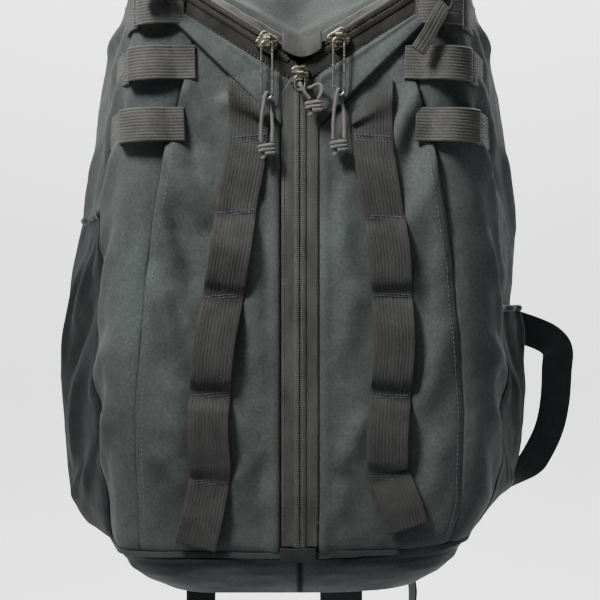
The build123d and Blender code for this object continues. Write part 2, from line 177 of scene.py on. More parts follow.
class Nodes(Tree):
    """A material's node tree, built up from its Principled shader."""

    def __init__(self, name, color, roughness, metallic=0.0):
        self.mat = bpy.data.materials.new(name)
        self.mat.use_nodes = True
        super().__init__(self.mat.node_tree)
        self.shader = self.tree.nodes["Principled BSDF"]
        self.shader.inputs["Base Color"].default_value = (*color, 1)
        self.shader.inputs["Roughness"].default_value = roughness
        self.shader.inputs["Metallic"].default_value = metallic
        self.coord = self.add("ShaderNodeTexCoord")

    def surface(self, **values):
        """Uniform values on the shader's own sockets."""
        names = {"sheen": "Sheen Weight", "sheen_roughness": "Sheen Roughness",
                 "specular": "Specular IOR Level"}
        for key, value in values.items():
            self.shader.inputs[names[key]].default_value = value

    def position(self, scale=(1, 1, 1), turn=(0, 0, 0)):
        mapping = self.add("ShaderNodeMapping")
        mapping.inputs["Scale"].default_value = scale
        mapping.inputs["Rotation"].default_value = turn
        self.link(self.coord.outputs["Object"], mapping.inputs["Vector"])
        return mapping.outputs["Vector"]

    def noise(self, size, detail=3.0, rough=0.55, stretch=(1, 1, 1), turn=(0, 0, 0)):
        """Noise whose features are about size metres across."""
        scale = tuple(s / size for s in stretch)
        node = self.add("ShaderNodeTexNoise", Detail=detail, Roughness=rough, Scale=1.0)
        self.link(self.position(scale, turn), node.inputs["Vector"])
        return node.outputs["Fac"]

    def multiply(self, a, b, part):
        """Colour a darkened by colour b, as far as part says."""
        node = self.add("ShaderNodeMix", data_type="RGBA", blend_type="MULTIPLY")
        node.inputs["Factor"].default_value = part
        self.link(a, node.inputs[6])
        self.link(b, node.inputs[7])
        return node.outputs[2]

    def weave(self, pitch):
        """Crossed threads, seen alike on faces that look along X, Y or Z."""
        split = self.add("ShaderNodeSeparateXYZ")
        self.link(self.coord.outputs["Object"], split.inputs[0])
        x, y, z = split.outputs
        turns = 2 * math.pi / pitch
        across = self.math("SINE", self.math("MULTIPLY", self.math("ADD", x, y), turns))
        along = self.math("SINE", self.math("MULTIPLY", self.math("ADD", z, self.math(
            "MULTIPLY", self.math("SUBTRACT", x, y), 0.35)), turns))
        return self.math("MULTIPLY", across, along)

    def bump(self, height, distance, strength=1.0, under=None):
        node = self.add("ShaderNodeBump", Strength=strength, Distance=distance)
        self.link(height, node.inputs["Height"])
        if under is not None:
            self.link(under, node.inputs["Normal"])
        return node.outputs["Normal"]

    def finish(self, normal=None, color=None, roughness=None):
        for value, slot in ((normal, "Normal"), (color, "Base Color"), (roughness, "Roughness")):
            if value is not None:
                self.link(value, self.shader.inputs[slot])
        return self.mat


def grey(value):
    return (value,) * 3


def shade(color, factor):
    """A colour made darker or lighter, its parts at most 1."""
    return tuple(min(1.0, c * factor) for c in color)


def cloth_material(name, color, pitch=0.0009, sheen=0.02, roughness=0.7, crumple=0.0013):
    """Matt coated pack cloth: a fine weave, a brushed face and soft uneven wear."""
    n = Nodes(name, color, roughness)
    n.surface(sheen=sheen, sheen_roughness=0.45, specular=0.035)
    broad = n.noise(0.075, 4.0, 0.6)
    grain = n.noise(0.0021, 3.0, 0.75)
    tone = n.multiply(n.ramp(broad, shade(color, 0.8), shade(color, 1.22)),
                      n.ramp(grain, grey(0.58), grey(1.12), (0.3, 0.7)), 0.8)
    rough = n.ramp(n.noise(0.03, 4.0, 0.65), grey(roughness - 0.09), grey(roughness + 0.1))
    soft = n.bump(n.noise(0.022, 5.0, 0.55, (1, 1, 0.6), (0, 0.6, 0)), crumple, 0.55)
    fine = n.bump(grain, 0.00012, 0.5, soft)
    woven = n.bump(n.weave(pitch), 0.00007, 0.6, fine)
    return n.finish(woven, tone, rough)


def webbing_material(name, color, pitch=0.0011, roughness=0.7):
    """Nylon webbing: diagonal rows of yarn over ribs that are in the mesh, with paler wear."""
    n = Nodes(name, color, roughness)
    n.surface(specular=0.13, sheen=0.03, sheen_roughness=0.4)
    along = n.add("ShaderNodeAttribute", attribute_name="along").outputs["Fac"]
    across = n.add("ShaderNodeAttribute", attribute_name="across").outputs["Fac"]
    turns = 2 * math.pi / pitch
    rows = n.math("SINE", n.math("MULTIPLY", n.math("ADD", along, n.math(
        "MULTIPLY", n.math("ABSOLUTE", n.math("SINE", n.math("MULTIPLY", across, 1500.0))),
        0.0006)), turns))
    worn = n.noise(0.02, 5.0, 0.65)
    fuzz = n.noise(0.0009, 3.0, 0.7)
    tone = n.multiply(n.ramp(worn, shade(color, 0.7), shade(color, 1.5)),
                      n.ramp(rows, grey(0.45), grey(1), (0.2, 0.8)), 0.6)
    woven = n.bump(rows, 0.00018, 0.8)
    furry = n.bump(fuzz, 0.00015, 0.6, woven)
    return n.finish(furry, tone, n.ramp(worn, grey(0.6), grey(0.82)))


def rubber_tape_material(name, color):
    """Zip tape coated with a thin, slightly shiny film."""
    n = Nodes(name, color, 0.5)
    n.surface(specular=0.07)
    wear = n.noise(0.012, 5.0, 0.65, (1, 1, 0.35))
    grain = n.noise(0.0012, 2.0, 0.6)
    soft = n.bump(wear, 0.0006, 0.5)
    fine = n.bump(grain, 0.00008, 0.5, soft)
    tint = n.ramp(wear, shade(color, 0.78), shade(color, 1.25))
    return n.finish(fine, tint, n.ramp(wear, grey(0.36), grey(0.58)))


def metal_material(name, color, roughness, wear_color):
    """Plated metal with fine scratches and brighter rubbed patches."""
    n = Nodes(name, color, roughness, 1.0)
    scratch = n.noise(0.006, 4.0, 0.6, (1, 1, 4))
    tint = n.ramp(scratch, color, wear_color, (0.45, 0.75))
    rough = n.ramp(scratch, grey(roughness - 0.06), grey(roughness + 0.14))
    return n.finish(n.bump(scratch, 0.00003, 0.3), tint, rough)


def plastic_material(name, color, roughness=0.42):
    """Moulded plastic with a fine spark-eroded texture."""
    n = Nodes(name, color, roughness)
    n.surface(specular=0.22)
    spark = n.noise(0.0007, 3.0, 0.6)
    broad = n.noise(0.02, 3.0, 0.5)
    rough = n.ramp(broad, grey(roughness - 0.07), grey(roughness + 0.1))
    return n.finish(n.bump(spark, 0.00005, 0.7), n.ramp(broad, color, shade(color, 1.3)), rough)


def mesh_foam_material(name, color):
    """Spacer mesh: rows of small open cells over foam."""
    n = Nodes(name, color, 0.85)
    n.surface(specular=0.06, sheen=0.03)
    cells = n.add("ShaderNodeTexVoronoi", Scale=1.0, Randomness=0.25)
    n.link(n.position((270, 270, 270)), cells.inputs["Vector"])
    dark = n.ramp(cells.outputs["Distance"], shade(color, 1.15), shade(color, 0.6), (0.25, 0.6))
    dents = n.bump(n.math("MULTIPLY", cells.outputs["Distance"], -1.0), 0.0008, 0.8)
    return n.finish(n.bump(n.noise(0.02, 3.0), 0.0012, 0.4, dents), dark)


def cord_material(name, color):
    """A woven cord's crossed yarns."""
    n = Nodes(name, color, 0.72)
    n.surface(sheen=0.15)
    split = n.add("ShaderNodeSeparateXYZ")
    n.link(n.coord.outputs["Object"], split.inputs[0])
    x, y, z = split.outputs
    turns = 2 * math.pi / 0.0016
    one = n.math("SINE", n.math("MULTIPLY", n.math("ADD", z, x), turns))
    two = n.math("SINE", n.math("MULTIPLY", n.math("SUBTRACT", z, n.math("ADD", x, y)), turns))
    yarn = n.math("MULTIPLY", one, two)
    tint = n.ramp(yarn, shade(color, 0.55), shade(color, 1.35), (0.2, 0.8))
    return n.finish(n.bump(yarn, 0.00025, 0.9), tint)


def make_materials():
    """Every finish on the object, by the record's slot name or a variant of it."""
    cloth = (0.0360, 0.0408, 0.0394)
    return {
        "cloth": cloth_material("pack_cloth", cloth),
        # The crown cloth is a darker copy of the pack cloth: painted shade that tones down the key
        # light's brightness on the lid.
        "crown": cloth_material("crown_cloth_painted_shade", (0.0285, 0.0320, 0.0305), roughness=0.62),
        # The pocket cloth is far darker than the pack cloth: partly its own colour, mostly painted
        # shade on the pockets' rear bulge.
        "stretch": cloth_material("stretch_cloth_painted_shade", (0.0095, 0.0112, 0.0115), 0.0014, 0.02, 0.75),
        "base": cloth_material("base_cloth", (0.024, 0.0275, 0.0285)),
        "lining": cloth_material("back_cloth", (0.012, 0.0135, 0.0145), 0.0011, 0.02, 0.7),
        "tape": rubber_tape_material("zip_tape", (0.0285, 0.0290, 0.0272)),
        # The V's tape is a darker copy of the zip tape: painted shade where the sloping tapes turn
        # away from the light.
        "vee_tape": rubber_tape_material("crown_zip_tape_painted_shade", (0.0120, 0.0118, 0.0102)),
        "webbing": webbing_material("ribbed_webbing", (0.0215, 0.0222, 0.0213)),
        "side_webbing": webbing_material("side_webbing", (0.0395, 0.0395, 0.0365)),
        "black": webbing_material("black_webbing", (0.0125, 0.0140, 0.0145)),
        "thread": cord_material("bonded_thread", (0.060, 0.064, 0.072)),
        "navy": cord_material("navy_thread", (0.026, 0.029, 0.052)),
        # Pale dots on the V's coils, one per tooth: painted highlights where light glints on the
        # teeth.
        "painted_coil_glint": cord_material("painted_coil_glint_dots", (0.135, 0.135, 0.122)),
        "slider": metal_material("bronze_slider", (0.085, 0.080, 0.058), 0.26,
                                 (0.30, 0.285, 0.23)),
        "wire": metal_material("bright_wire", (0.17, 0.17, 0.16), 0.3, (0.30, 0.30, 0.29)),
        "stay": metal_material("stay_aluminium", (0.6, 0.6, 0.6), 0.4, (0.75, 0.75, 0.75)),
        "cord": cord_material("pull_cord", (0.052, 0.0492, 0.0445)),
        "buckle": plastic_material("buckle_plastic", (0.010, 0.011, 0.012)),
        "sheet": plastic_material("frame_plastic", (0.03, 0.03, 0.03), 0.5),
        "foam": mesh_foam_material("spacer_mesh", (0.016, 0.018, 0.0195)),
    }


# Mesh helpers -----------------------------------------------------------------------------
def link_mesh(name, verts, faces, material):
    """A smooth-shaded mesh object in the scene."""
    mesh = bpy.data.meshes.new(name)
    mesh.from_pydata([tuple(v) for v in verts], [], faces)
    mesh.update()
    mesh.polygons.foreach_set("use_smooth", [True] * len(mesh.polygons))
    mesh.materials.append(material)
    piece = bpy.data.objects.new(name, mesh)
    bpy.context.scene.collection.objects.link(piece)
    return piece


def grid_faces(rows, cols, wrap=False, start=0, flip=False):
    """Quads over a grid of points numbered row by row from start."""
    faces = []
    for i in range(rows - 1):
        for j in range(cols if wrap else cols - 1):
            k = (j + 1) % cols
            quad = (start + i * cols + j, start + i * cols + k,
                    start + (i + 1) * cols + k, start + (i + 1) * cols + j)
            faces.append(quad[::-1] if flip else quad)
    return faces


def rim_faces(rows, cols, flip):
    """Faces that join the border of a grid to a second grid numbered after it."""
    total = rows * cols
    ring = list(range(cols))
    ring += [i * cols + cols - 1 for i in range(1, rows)]
    ring += [(rows - 1) * cols + j for j in range(cols - 2, -1, -1)]
    ring += [i * cols for i in range(rows - 2, 0, -1)]
    faces = [(a, a + total, b + total, b) for a, b in zip(ring, ring[1:] + ring[:1])]
    return [face[::-1] for face in faces] if flip else faces


def grid_normals(points):
    du = np.gradient(points, axis=1)
    dv = np.gradient(points, axis=0)
    normals = np.cross(du, dv)
    return normals / np.maximum(np.linalg.norm(normals, axis=2, keepdims=True), 1e-9)


def sheet_mesh(name, points, material, thickness, outward=1.0):
    """A closed cloth panel from a grid of outer points, in working millimetres."""
    rows, cols, _ = points.shape
    inner = points - grid_normals(points) * thickness * outward
    verts = to_row(np.concatenate([points.reshape(-1, 3), inner.reshape(-1, 3)]))
    total = rows * cols
    flip = outward <= 0
    faces = grid_faces(rows, cols, flip=flip) + grid_faces(rows, cols, False, total, not flip)
    faces += rim_faces(rows, cols, flip)
    return link_mesh(name, verts, faces, material)


def place_body(piece, body, slot, *nodes):
    """Tie a piece to its body, in place of the CAD nodes named; the slot is not used."""
    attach(piece, body)
    if nodes:
        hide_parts(*nodes)
    return piece


def panel(name, points, material, outward, node, thickness=CLOTH_T):
    """A cloth panel of the bag, from a grid of its outer points."""
    piece = sheet_mesh(name, points, material, thickness, outward)
    place_body(piece, "pack", "pack_fabric", node)


# The bag's surface ------------------------------------------------------------------------
def smooth_table(table, z):
    """A table's columns at heights z, with a gentle curve through its rows."""
    z = np.clip(np.asarray(z, float), table[0, 0], table[-1, 0])
    fine = np.linspace(table[0, 0], table[-1, 0], 281)
    kernel = np.hanning(15)
    kernel /= kernel.sum()
    columns = []
    for c in range(1, table.shape[1]):
        raw = np.interp(fine, table[:, 0], table[:, c])
        padded = np.concatenate([2 * raw[0] - raw[7:0:-1], raw, 2 * raw[-1] - raw[-2:-9:-1]])
        columns.append(np.interp(z, fine, np.convolve(padded, kernel, mode="valid")))
    return columns


def plan_point(z, s):
    """Point and outward normal on the right half of the bag, s along its girth from the front."""
    front, half_front, half_rear, back = smooth_table(SHELL, z)
    front = np.where(z > 45, FRONT_Y, front)
    lean = np.arctan2(half_rear - half_front, back - front)
    centre_x = half_front + FRONT_R * (np.sin(lean) - 1) / np.cos(lean)
    centre_y = front + FRONT_R
    turn = math.pi / 2 - lean
    arc = FRONT_R * turn
    rear_x = half_rear - REAR_R * (1 + np.sin(lean)) / np.cos(lean)
    rear_y = back - REAR_R
    start_x = centre_x + FRONT_R * np.cos(lean)
    start_y = centre_y - FRONT_R * np.sin(lean)
    end_y = rear_y - REAR_R * np.sin(lean)
    side = np.maximum((end_y - start_y) / np.cos(lean), 1.0)
    rear_turn = math.pi / 2 + lean
    s1 = centre_x
    s2 = s1 + arc
    s3 = s2 + side
    angle = np.clip((s - s1) / FRONT_R, 0, turn)
    rear = np.clip((s - s3) / REAR_R, 0, rear_turn)
    heading = turn + rear
    x = np.where(s < s1, s, centre_x + FRONT_R * np.sin(angle))
    y = np.where(s < s1, front, centre_y - FRONT_R * np.cos(angle))
    t = np.clip(s - s2, 0, side)
    x = np.where(s > s2, start_x + t * np.sin(lean), x)
    y = np.where(s > s2, start_y + t * np.cos(lean), y)
    x = np.where(s > s3, rear_x + REAR_R * np.sin(heading), x)
    y = np.where(s > s3, rear_y - REAR_R * np.cos(heading), y)
    s4 = s3 + REAR_R * rear_turn
    x = np.where(s > s4, rear_x - (s - s4), x)
    y = np.where(s > s4, back, y)
    facing = np.where(s < s1, 0, np.where(s < s2, angle, np.where(s < s3, turn, heading)))
    facing = np.where(s > s4, math.pi, facing)
    return x, y, np.sin(facing), -np.cos(facing)


def front_corner(z):
    """Lean of the side and centre of the front corner's curve at height z."""
    _, half_front, half_rear, back = smooth_table(SHELL, z)
    lean = np.arctan2(half_rear - half_front, back - FRONT_Y)
    return lean, half_front + FRONT_R * (np.sin(lean) - 1) / np.cos(lean)


def girth_of(z, x):
    """Distance along the girth of the front point at front-view distance x."""
    _, centre_x = front_corner(z)
    angle = np.arcsin(np.clip((x - centre_x) / FRONT_R, 0, 0.999))
    return np.where(x < centre_x, x, centre_x + FRONT_R * angle)


def girth_end(z, y_end):
    """Distance along the girth where the side reaches y_end, before the rear corner ends."""
    s = np.linspace(0, 520, 521)
    ends = []
    for height in np.atleast_1d(z):
        x, y, _, _ = plan_point(np.full_like(s, height), s)
        inside = np.nonzero((y >= y_end - 0.01) & (s > 100))[0]
        ends.append(s[inside[0]] if len(inside) else 400.0)
    return np.array(ends)


def vee(x):
    """Height of the V's seam at front-view distance x."""
    return VEE_TIP + VEE_SLOPE * np.abs(x)


def crown_height(x, y):
    """Underside of the crown at (x, y)."""
    y = np.clip(np.asarray(y, float), -112, 125)
    x = np.clip(np.abs(np.asarray(x, float)), 0, 160)
    rows = np.stack([np.interp(x, CROWN_X, row) for row in CROWN_H])
    result = np.zeros_like(x)
    for k in range(4):
        y0, y1 = CROWN_Y[k], CROWN_Y[k + 1]
        inside = (y >= y0) & (y <= y1)
        t = (y - y0) / (y1 - y0)
        before = rows[max(k - 1, 0)]
        after = rows[min(k + 2, 4)]
        m0 = (rows[k + 1] - before) / (y1 - CROWN_Y[max(k - 1, 0)]) * (y1 - y0)
        m1 = (after - rows[k]) / (CROWN_Y[min(k + 2, 4)] - y0) * (y1 - y0)
        curve = ((2 * t**3 - 3 * t**2 + 1) * rows[k] + (t**3 - 2 * t**2 + t) * m0
                 + (-2 * t**3 + 3 * t**2) * rows[k + 1] + (t**3 - t**2) * m1)
        result = np.where(inside, curve, result)
    return result


# Folds ------------------------------------------------------------------------------------
def value_noise(a, b, seed):
    """Smooth noise in two dimensions, about -1 to 1."""
    rng = np.random.RandomState(seed)
    table = rng.rand(64, 64) * 2 - 1
    ia, ib = np.floor(a).astype(int), np.floor(b).astype(int)
    fa, fb = a - ia, b - ib
    fa, fb = fa * fa * (3 - 2 * fa), fb * fb * (3 - 2 * fb)
    v00, v10 = table[ia % 64, ib % 64], table[(ia + 1) % 64, ib % 64]
    v01, v11 = table[ia % 64, (ib + 1) % 64], table[(ia + 1) % 64, (ib + 1) % 64]
    return (v00 * (1 - fa) + v10 * fa) * (1 - fb) + (v01 * (1 - fa) + v11 * fa) * fb


def crumple(a, b, size, seed, octaves=3):
    """Soft irregular relief whose broadest features are about size across."""
    total = np.zeros_like(a)
    for k in range(octaves):
        step = size / 1.9**k
        total += value_noise(a / step + 7 * k, b / step + 3 * k, seed + k) * 0.55**k
    return total


FOLD_DEPTH = 2.0
# each fold: from (girth, height) to (girth, height), height of the ridge, width
FRONT_FOLDS = {
    "left": [
        (96, 392, 58, 330, 3.0, 9), (104, 350, 66, 262, 3.4, 10), (88, 372, 70, 300, -2.4, 7),
        (110, 330, 84, 214, 3.2, 11), (100, 300, 70, 200, -2.6, 8), (112, 250, 80, 150, 2.8, 11),
        (40, 300, 30, 214, 1.8, 9), (34, 240, 22, 140, 2.0, 10), (100, 176, 82, 92, 2.4, 10),
        (48, 110, 30, 52, 2.0, 9), (112, 120, 74, 60, 2.2, 9), (60, 372, 34, 352, 1.6, 6),
        (26, 350, 18, 290, 1.5, 7), (92, 230, 82, 170, -1.8, 6), (24, 110, 36, 60, -1.4, 7),
    ],
    "right": [
        (92, 390, 66, 318, 3.0, 9), (104, 352, 80, 250, 3.2, 10), (88, 366, 76, 300, -2.2, 7),
        (108, 318, 88, 206, 2.8, 11), (38, 318, 26, 226, 2.0, 9), (96, 280, 88, 190, -2.0, 7),
        (40, 240, 24, 158, 2.2, 10), (104, 214, 90, 120, 2.6, 10), (48, 150, 30, 84, 1.8, 9),
        (108, 130, 86, 60, 2.2, 9), (34, 92, 20, 50, 1.6, 8), (26, 380, 20, 300, 1.2, 7),
    ],
}
SIDE_FOLDS = [
    (150, 440, 250, 380, 3.2, 11), (135, 400, 240, 320, 3.6, 12), (140, 370, 220, 300, -3.0, 9),
    (130, 350, 230, 250, 3.4, 12), (150, 300, 250, 210, 3.0, 12), (135, 280, 200, 170, 3.0, 11),
    (140, 200, 240, 120, 3.2, 12), (135, 150, 210, 70, 2.8, 11), (160, 340, 260, 300, -2.6, 9),
    (200, 440, 290, 420, 2.4, 10), (260, 360, 300, 240, 2.4, 12), (180, 110, 260, 50, 2.6, 10),
]


def folds_at(s, z, folds):
    """Height of a set of soft ridges and hollows at (girth, height)."""
    total = np.zeros_like(s)
    for s0, z0, s1, z1, high, wide in folds:
        length = math.hypot(s1 - s0, z1 - z0)
        us, uz = (s1 - s0) / length, (z1 - z0) / length
        along = (s - s0) * us + (z - z0) * uz
        wander = 0.28 * wide * np.sin(along / length * 5.0 + s0)
        across = -(s - s0) * uz + (z - z0) * us + wander
        taper = share(along / length * 3.2) * share((1 - along / length) * 2.2)
        total += FOLD_DEPTH * high * smoothstep(taper) * bell(across, wide)
    return total


def edge_roll(u, v, cols_mm, rows_mm, depth=1.6, reach=5.0):
    """How far a panel drops at its edges, where it is turned in and sewn."""
    du = np.minimum(u, 1 - u) * cols_mm
    dv = np.minimum(v, 1 - v) * rows_mm
    drop = bell(du, reach) + bell(dv, reach)
    return -depth * share(drop)


# side pockets: height of the mouth, then (height, distance let out) up the pocket
POCKETS = {
    "left": (286.0, ((38, 16), (59, 25), (100, 25), (140, 23), (176, 24), (244, 17), (286, 9))),
    "right": (214.0, ((38, 2), (57, 4), (75, 8), (95, 11), (144, 12), (188, 8), (214, 5))),
}
DAISY_LINES = {"left": ((-40, 366), (-67, 84), (337, 283, 223, 151, 88)),
               "right": ((53, 364), (68, 84), (337, 280, 224, 151, 92))}
# the straps wander a little beside the straight line: height, distance from the centre
DAISY_WANDER = {
    "left": ((36, -77), (60, -71), (96, -64.5), (132, -67), (184, -62.5), (256, -50),
             (293, -45.5), (322, -39.5), (350, -37), (372, -37)),
    "right": ((36, 84), (58, 79), (96, 63.5), (125, 63.5), (187, 68.5), (256, 65), (293, 59),
              (329, 53), (350, 52.5), (372, 52.5)),
}


DAISY_STANDS_OFF = (2.4, 7.2, 8.8, 8.0)  # each loop below the first stitches
YOKE_CUT_Z, YOKE_CUT_SLOPE = 343, 0.85  # the straps' tops, cut along the yoke


def daisy_x(name, z):
    """Sideways place of a daisy chain's middle at height z."""
    heights, places = zip(*DAISY_WANDER[name])
    return np.interp(z, heights, places)


def tack_dents(x, z):
    """Cloth drawn in at each stitch of the daisy chains and puckered beside it."""
    total = np.zeros_like(x)
    for name, (_, _, tacks) in DAISY_LINES.items():
        for tack in tacks:
            centre = daisy_x(name, tack)
            far = np.hypot((x - centre) / 22, (z - tack) / 7)
            total -= 1.2 * bell(far, 1)
            beside = np.abs(x - centre) - 19
            pucker = bell(beside, 8) * bell(z - tack, 16)
            total += pucker * np.cos((z - tack) / 5.5)
    return total


def half_surface(side, name, s, z, front_part):
    """A working-frame point on one half of the bag, with the cloth's own relief."""
    x, y, nx, ny = plan_point(z, s)
    folds = FRONT_FOLDS[name] if front_part else SIDE_FOLDS
    relief = folds_at(s, z, folds)
    diagonal = s * 0.75 + z * 0.35
    relief += 1.1 * crumple(diagonal, z * 0.45, 30, 11 + side, 3)
    relief += 0.35 * crumple(s, z, 9, 31 + side, 2)
    if not front_part:
        relief += 6.5 * smoothstep((y + 60) / 110) * smoothstep((z - 190) / 90) * smoothstep(
            (BACK_Y - 2 - y) / 20) * smoothstep((480 - z) / 50)
    else:
        relief += tack_dents(side * x, z)
        pillow = share((s - 16) / 26) * share((118 - s) / 34)
        relief += 1.6 * pillow * share((z - 50) / 60) * share((380 - z) / 60)
    return side * x, y, side * nx, ny, relief


def lifted(x, y, z, nx, ny, out):
    """Points moved out along their normals."""
    return stacked(x + nx * out, y + ny * out, z)


# Panels -----------------------------------------------------------------------------------
def seam_girth(z):
    """Girth distance of the seam between front and side panels."""
    return girth_of(z, np.interp(z, SEAM[:, 0], SEAM[:, 1]))


def yoke_edge(x):
    """Height of the yoke's lower edge, which falls more steeply than the V."""
    return YOKE_EDGE_Z + YOKE_EDGE_SLOPE * x


def front_panel(side, name, material):
    """A front panel from the centre zip to the side seam, its top tucked under the yoke."""
    v, u = grid(132, 44)
    top = np.minimum(yoke_edge(4 + 74 * u) + 8, 406)
    z = HEM_Z + (top - HEM_Z) * v
    s = ZIP_EDGE + (seam_girth(z) - ZIP_EDGE) * u
    x, y, nx, ny, relief = half_surface(side, name, s, z, True)
    flat_near_zip = smoothstep((s - 15) / 14)
    out = relief * flat_near_zip + edge_roll(u, 0.5, 110, 350)
    out -= 1.6 * bell(z - HEM_Z, 5)
    tucked = share((z - top + 16) / 10)
    out = out * (1 - tucked) - 0.3 * tucked
    out = out + 2.6 * bell(s - 17.5, 5)
    points = lifted(x, y, z, nx, ny, out)
    panel(f"front_cloth_{name}", points, material, side, f"front_panel_{name}")


def yoke(side, name, material):
    """The strip under an arm of the V, its lower edge folded and standing off the panel."""
    v, u = grid(40, 74)
    x_guess = 3 + 95.2 * u
    top = vee(x_guess) - 15.5
    bottom = yoke_edge(x_guess) - 1.5
    z = bottom + (top - bottom) * v
    s = girth_of(z, x_guess)
    x, y, nx, ny = plan_point(z, s)
    relief = 1.3 * crumple(s * 0.6 + z * 0.3, z * 0.5, 20, 51 + side, 3)
    down = z - bottom
    lip = 3.6 * bell(down, 13) * (1 - bell(down, 1.1))
    out = 0.8 + lip + relief * smoothstep((s - 15) / 10) * (1 - v**3)
    out += 1.4 * np.sin(v * math.pi) + 1.3 * smoothstep((v - 0.7) / 0.2)
    out -= 2.0 * bell((1 - v) * 30, 2)
    out -= 1.2 * bell((1 - u) * 92, 5)
    out = np.where(s < 14.5, -0.3, out)
    points = lifted(side * x, y, z, side * nx, ny, out)
    panel(f"yoke_cloth_{name}", points, material, side, f"yoke_{name}", 1.4)


def side_panel(side, name, material):
    """A side panel from the front seam to the rear corner, its front top under the yoke."""
    v, u = grid(150, 84)
    z = HEM_Z + (466 - HEM_Z) * v
    start = seam_girth(z)
    end = girth_end(z[:, 0], BACK_Y - 1)[:, None]
    s = start + (end - start) * u
    x, y, nx, ny, relief = half_surface(side, name, s, z, False)
    top = crown_height(x, y) - 0.6
    z = HEM_Z + (top - HEM_Z) * v
    start = seam_girth(z)
    s = start + (end - start) * u
    x, y, nx, ny, relief = half_surface(side, name, s, z, False)
    fade = share((470 - z) / 40)
    out = relief * fade + edge_roll(u, v, 210, 430)
    under_yoke = smoothstep((z - yoke_edge(np.abs(x)) + 4) / 8) * smoothstep((104 - np.abs(x)) / 8)
    out = out * (1 - under_yoke) - 0.6 * under_yoke
    points = lifted(x, y, z, nx, ny, out)
    panel(f"side_cloth_{name}", points, material, side, f"side_panel_{name}")


def back_panel(material):
    v, u = grid(110, 80, -1)
    z0 = HEM_Z + (478 - HEM_Z) * v
    end = girth_end(z0[:, 0], BACK_Y - 1)
    half, _, _, _ = plan_point(z0[:, 0], end)
    x = half[:, None] * u
    z = HEM_Z + (crown_height(x, BACK_Y) + 0.2 - HEM_Z) * v
    relief = 1.2 * crumple(x * 0.8, z * 0.5, 40, 71, 3) - 1.2
    edge = share((1 - np.abs(u)) * half[:, None] / 8)
    y = BACK_Y - 1.2 * (1 - edge) + np.minimum(relief, -0.2) * edge
    points = stacked(x, y, z)
    panel("back_cloth", points, material, -1, "back_panel")


def base_panel(material):
    """The tub under the bag, from its flat underside up to the hem."""
    rows, cols, flat_rows = 30, 260, 9
    levels = np.concatenate([np.zeros(flat_rows), np.linspace(0, HEM_Z, rows - flat_rows)])
    shrink = np.ones(rows)
    shrink[:flat_rows] = np.linspace(0.02, 1, flat_rows + 1)[:-1]
    points = np.zeros((rows, cols, 3))
    for i, (z, k) in enumerate(zip(levels, shrink)):
        height = np.full(cols // 2, z)
        reach = girth_end(np.array([z]), smooth_table(SHELL, z)[3] - 0.4)[0]
        x_end = plan_point(np.array([z]), np.array([reach]))[0][0]
        s = np.linspace(0, 1, cols // 2) * (reach + x_end)
        x, y, nx, ny = plan_point(height, s)
        relief = 2.0 * crumple(s * 0.5 + 9, height * 1.6, 20, 81, 3) * min(1.0, z / 10)
        right = lifted(x, y, height, nx, ny, relief - 1.4 * bell(HEM_Z - z, 4))
        loop = np.concatenate([right, right[::-1] * (-1, 1, 1)])
        loop[:, 0] *= k
        loop[:, 1] = BASE_Y + (loop[:, 1] - BASE_Y) * k
        points[i] = loop
    verts = to_row(points.reshape(-1, 3))
    inner = points.copy()
    inner[:, :, 0] *= 0.985
    inner[:, :, 1] = BASE_Y + (inner[:, :, 1] - BASE_Y) * 0.985
    inner[:, :, 2] += 1.6 * (1 - share(inner[:, :, 2] / 25))
    total = rows * cols
    verts = np.concatenate([verts, to_row(inner.reshape(-1, 3))])
    faces = grid_faces(rows, cols, True, 0) + grid_faces(rows, cols, True, total, True)
    last = (rows - 1) * cols
    for j in range(cols):
        k = (j + 1) % cols
        faces.append((last + j, last + k, last + k + total, last + j + total))
    faces += [tuple(range(cols))[::-1], tuple(range(total, total + cols))]
    piece = link_mesh("base_cloth", verts, faces, material)
    return place_body(piece, "pack", "pack_fabric", "base_panel")


def crown_outline(y):
    """Half width of the bag at the crown's edge, for each y."""
    rows, s = y[:, 0], np.linspace(60, 520, 700)
    widths = []
    for place in rows:
        z = float(crown_height(np.array([120.0]), np.array([place]))[0])
        x, along, _, _ = plan_point(np.full_like(s, z), s)
        last = int(np.argmax(along >= BACK_Y - 0.3)) if np.any(along >= BACK_Y - 0.3) else len(s)
        widths.append(np.interp(place, along[:last], x[:last]))
    return np.array(widths)[:, None] - 0.8


def lid(material):
    """The crown, domed and softly creased from the zips up towards the haul loop."""
    v, u = grid(76, 110, -1)
    y = LID_FRONT_Y + (HINGE_Y + 1 - LID_FRONT_Y) * v**1.25
    x = crown_outline(y) * u
    base = crown_height(x, y) + 3.0
    inside = share((1 - np.abs(u)) * 12) * share(v * 9)
    dome = 5.0 * share((1 - u**2) * 1.6) * share(v * 4) * share((1 - v) * 6)
    dome += 3.4 * bell(y - LID_FRONT_Y - 4.5, 5.5) * share((1 - np.abs(u)) * 9)
    relief = 2.4 * crumple(x * 0.55 + y * 0.6, y * 0.35 - x * 0.3, 34, 91, 3)
    relief += 1.8 * crumple(x * 0.4 - y * 0.5, y * 0.9, 22, 95, 2)
    creases = folds_at(x, y, [(-70, -88, 0, -20, 3.4, 9), (66, -88, 10, -10, 3.2, 9),
                              (-30, -92, 20, -40, 2.6, 8), (-100, -60, -40, 20, 3.0, 11),
                              (100, -60, 40, 30, 3.0, 11), (-20, -60, -70, 10, -2.6, 9),
                              (30, -70, 64, 0, -2.4, 9)])
    near_edge = share((HINGE_Y - y) / 14)
    z = base + (dome + (relief + creases) * inside) * near_edge
    z = z - 2.2 * bell(y - LID_FRONT_Y, 1.6)
    z -= 2.0 * bell((1 - np.abs(u)) * 30, 1) * share(v * 9)
    points = stacked(x, y, z)
    piece = sheet_mesh("lid_cloth", points, material, CLOTH_T, 1)
    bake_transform(piece)
    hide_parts("lid_panel")


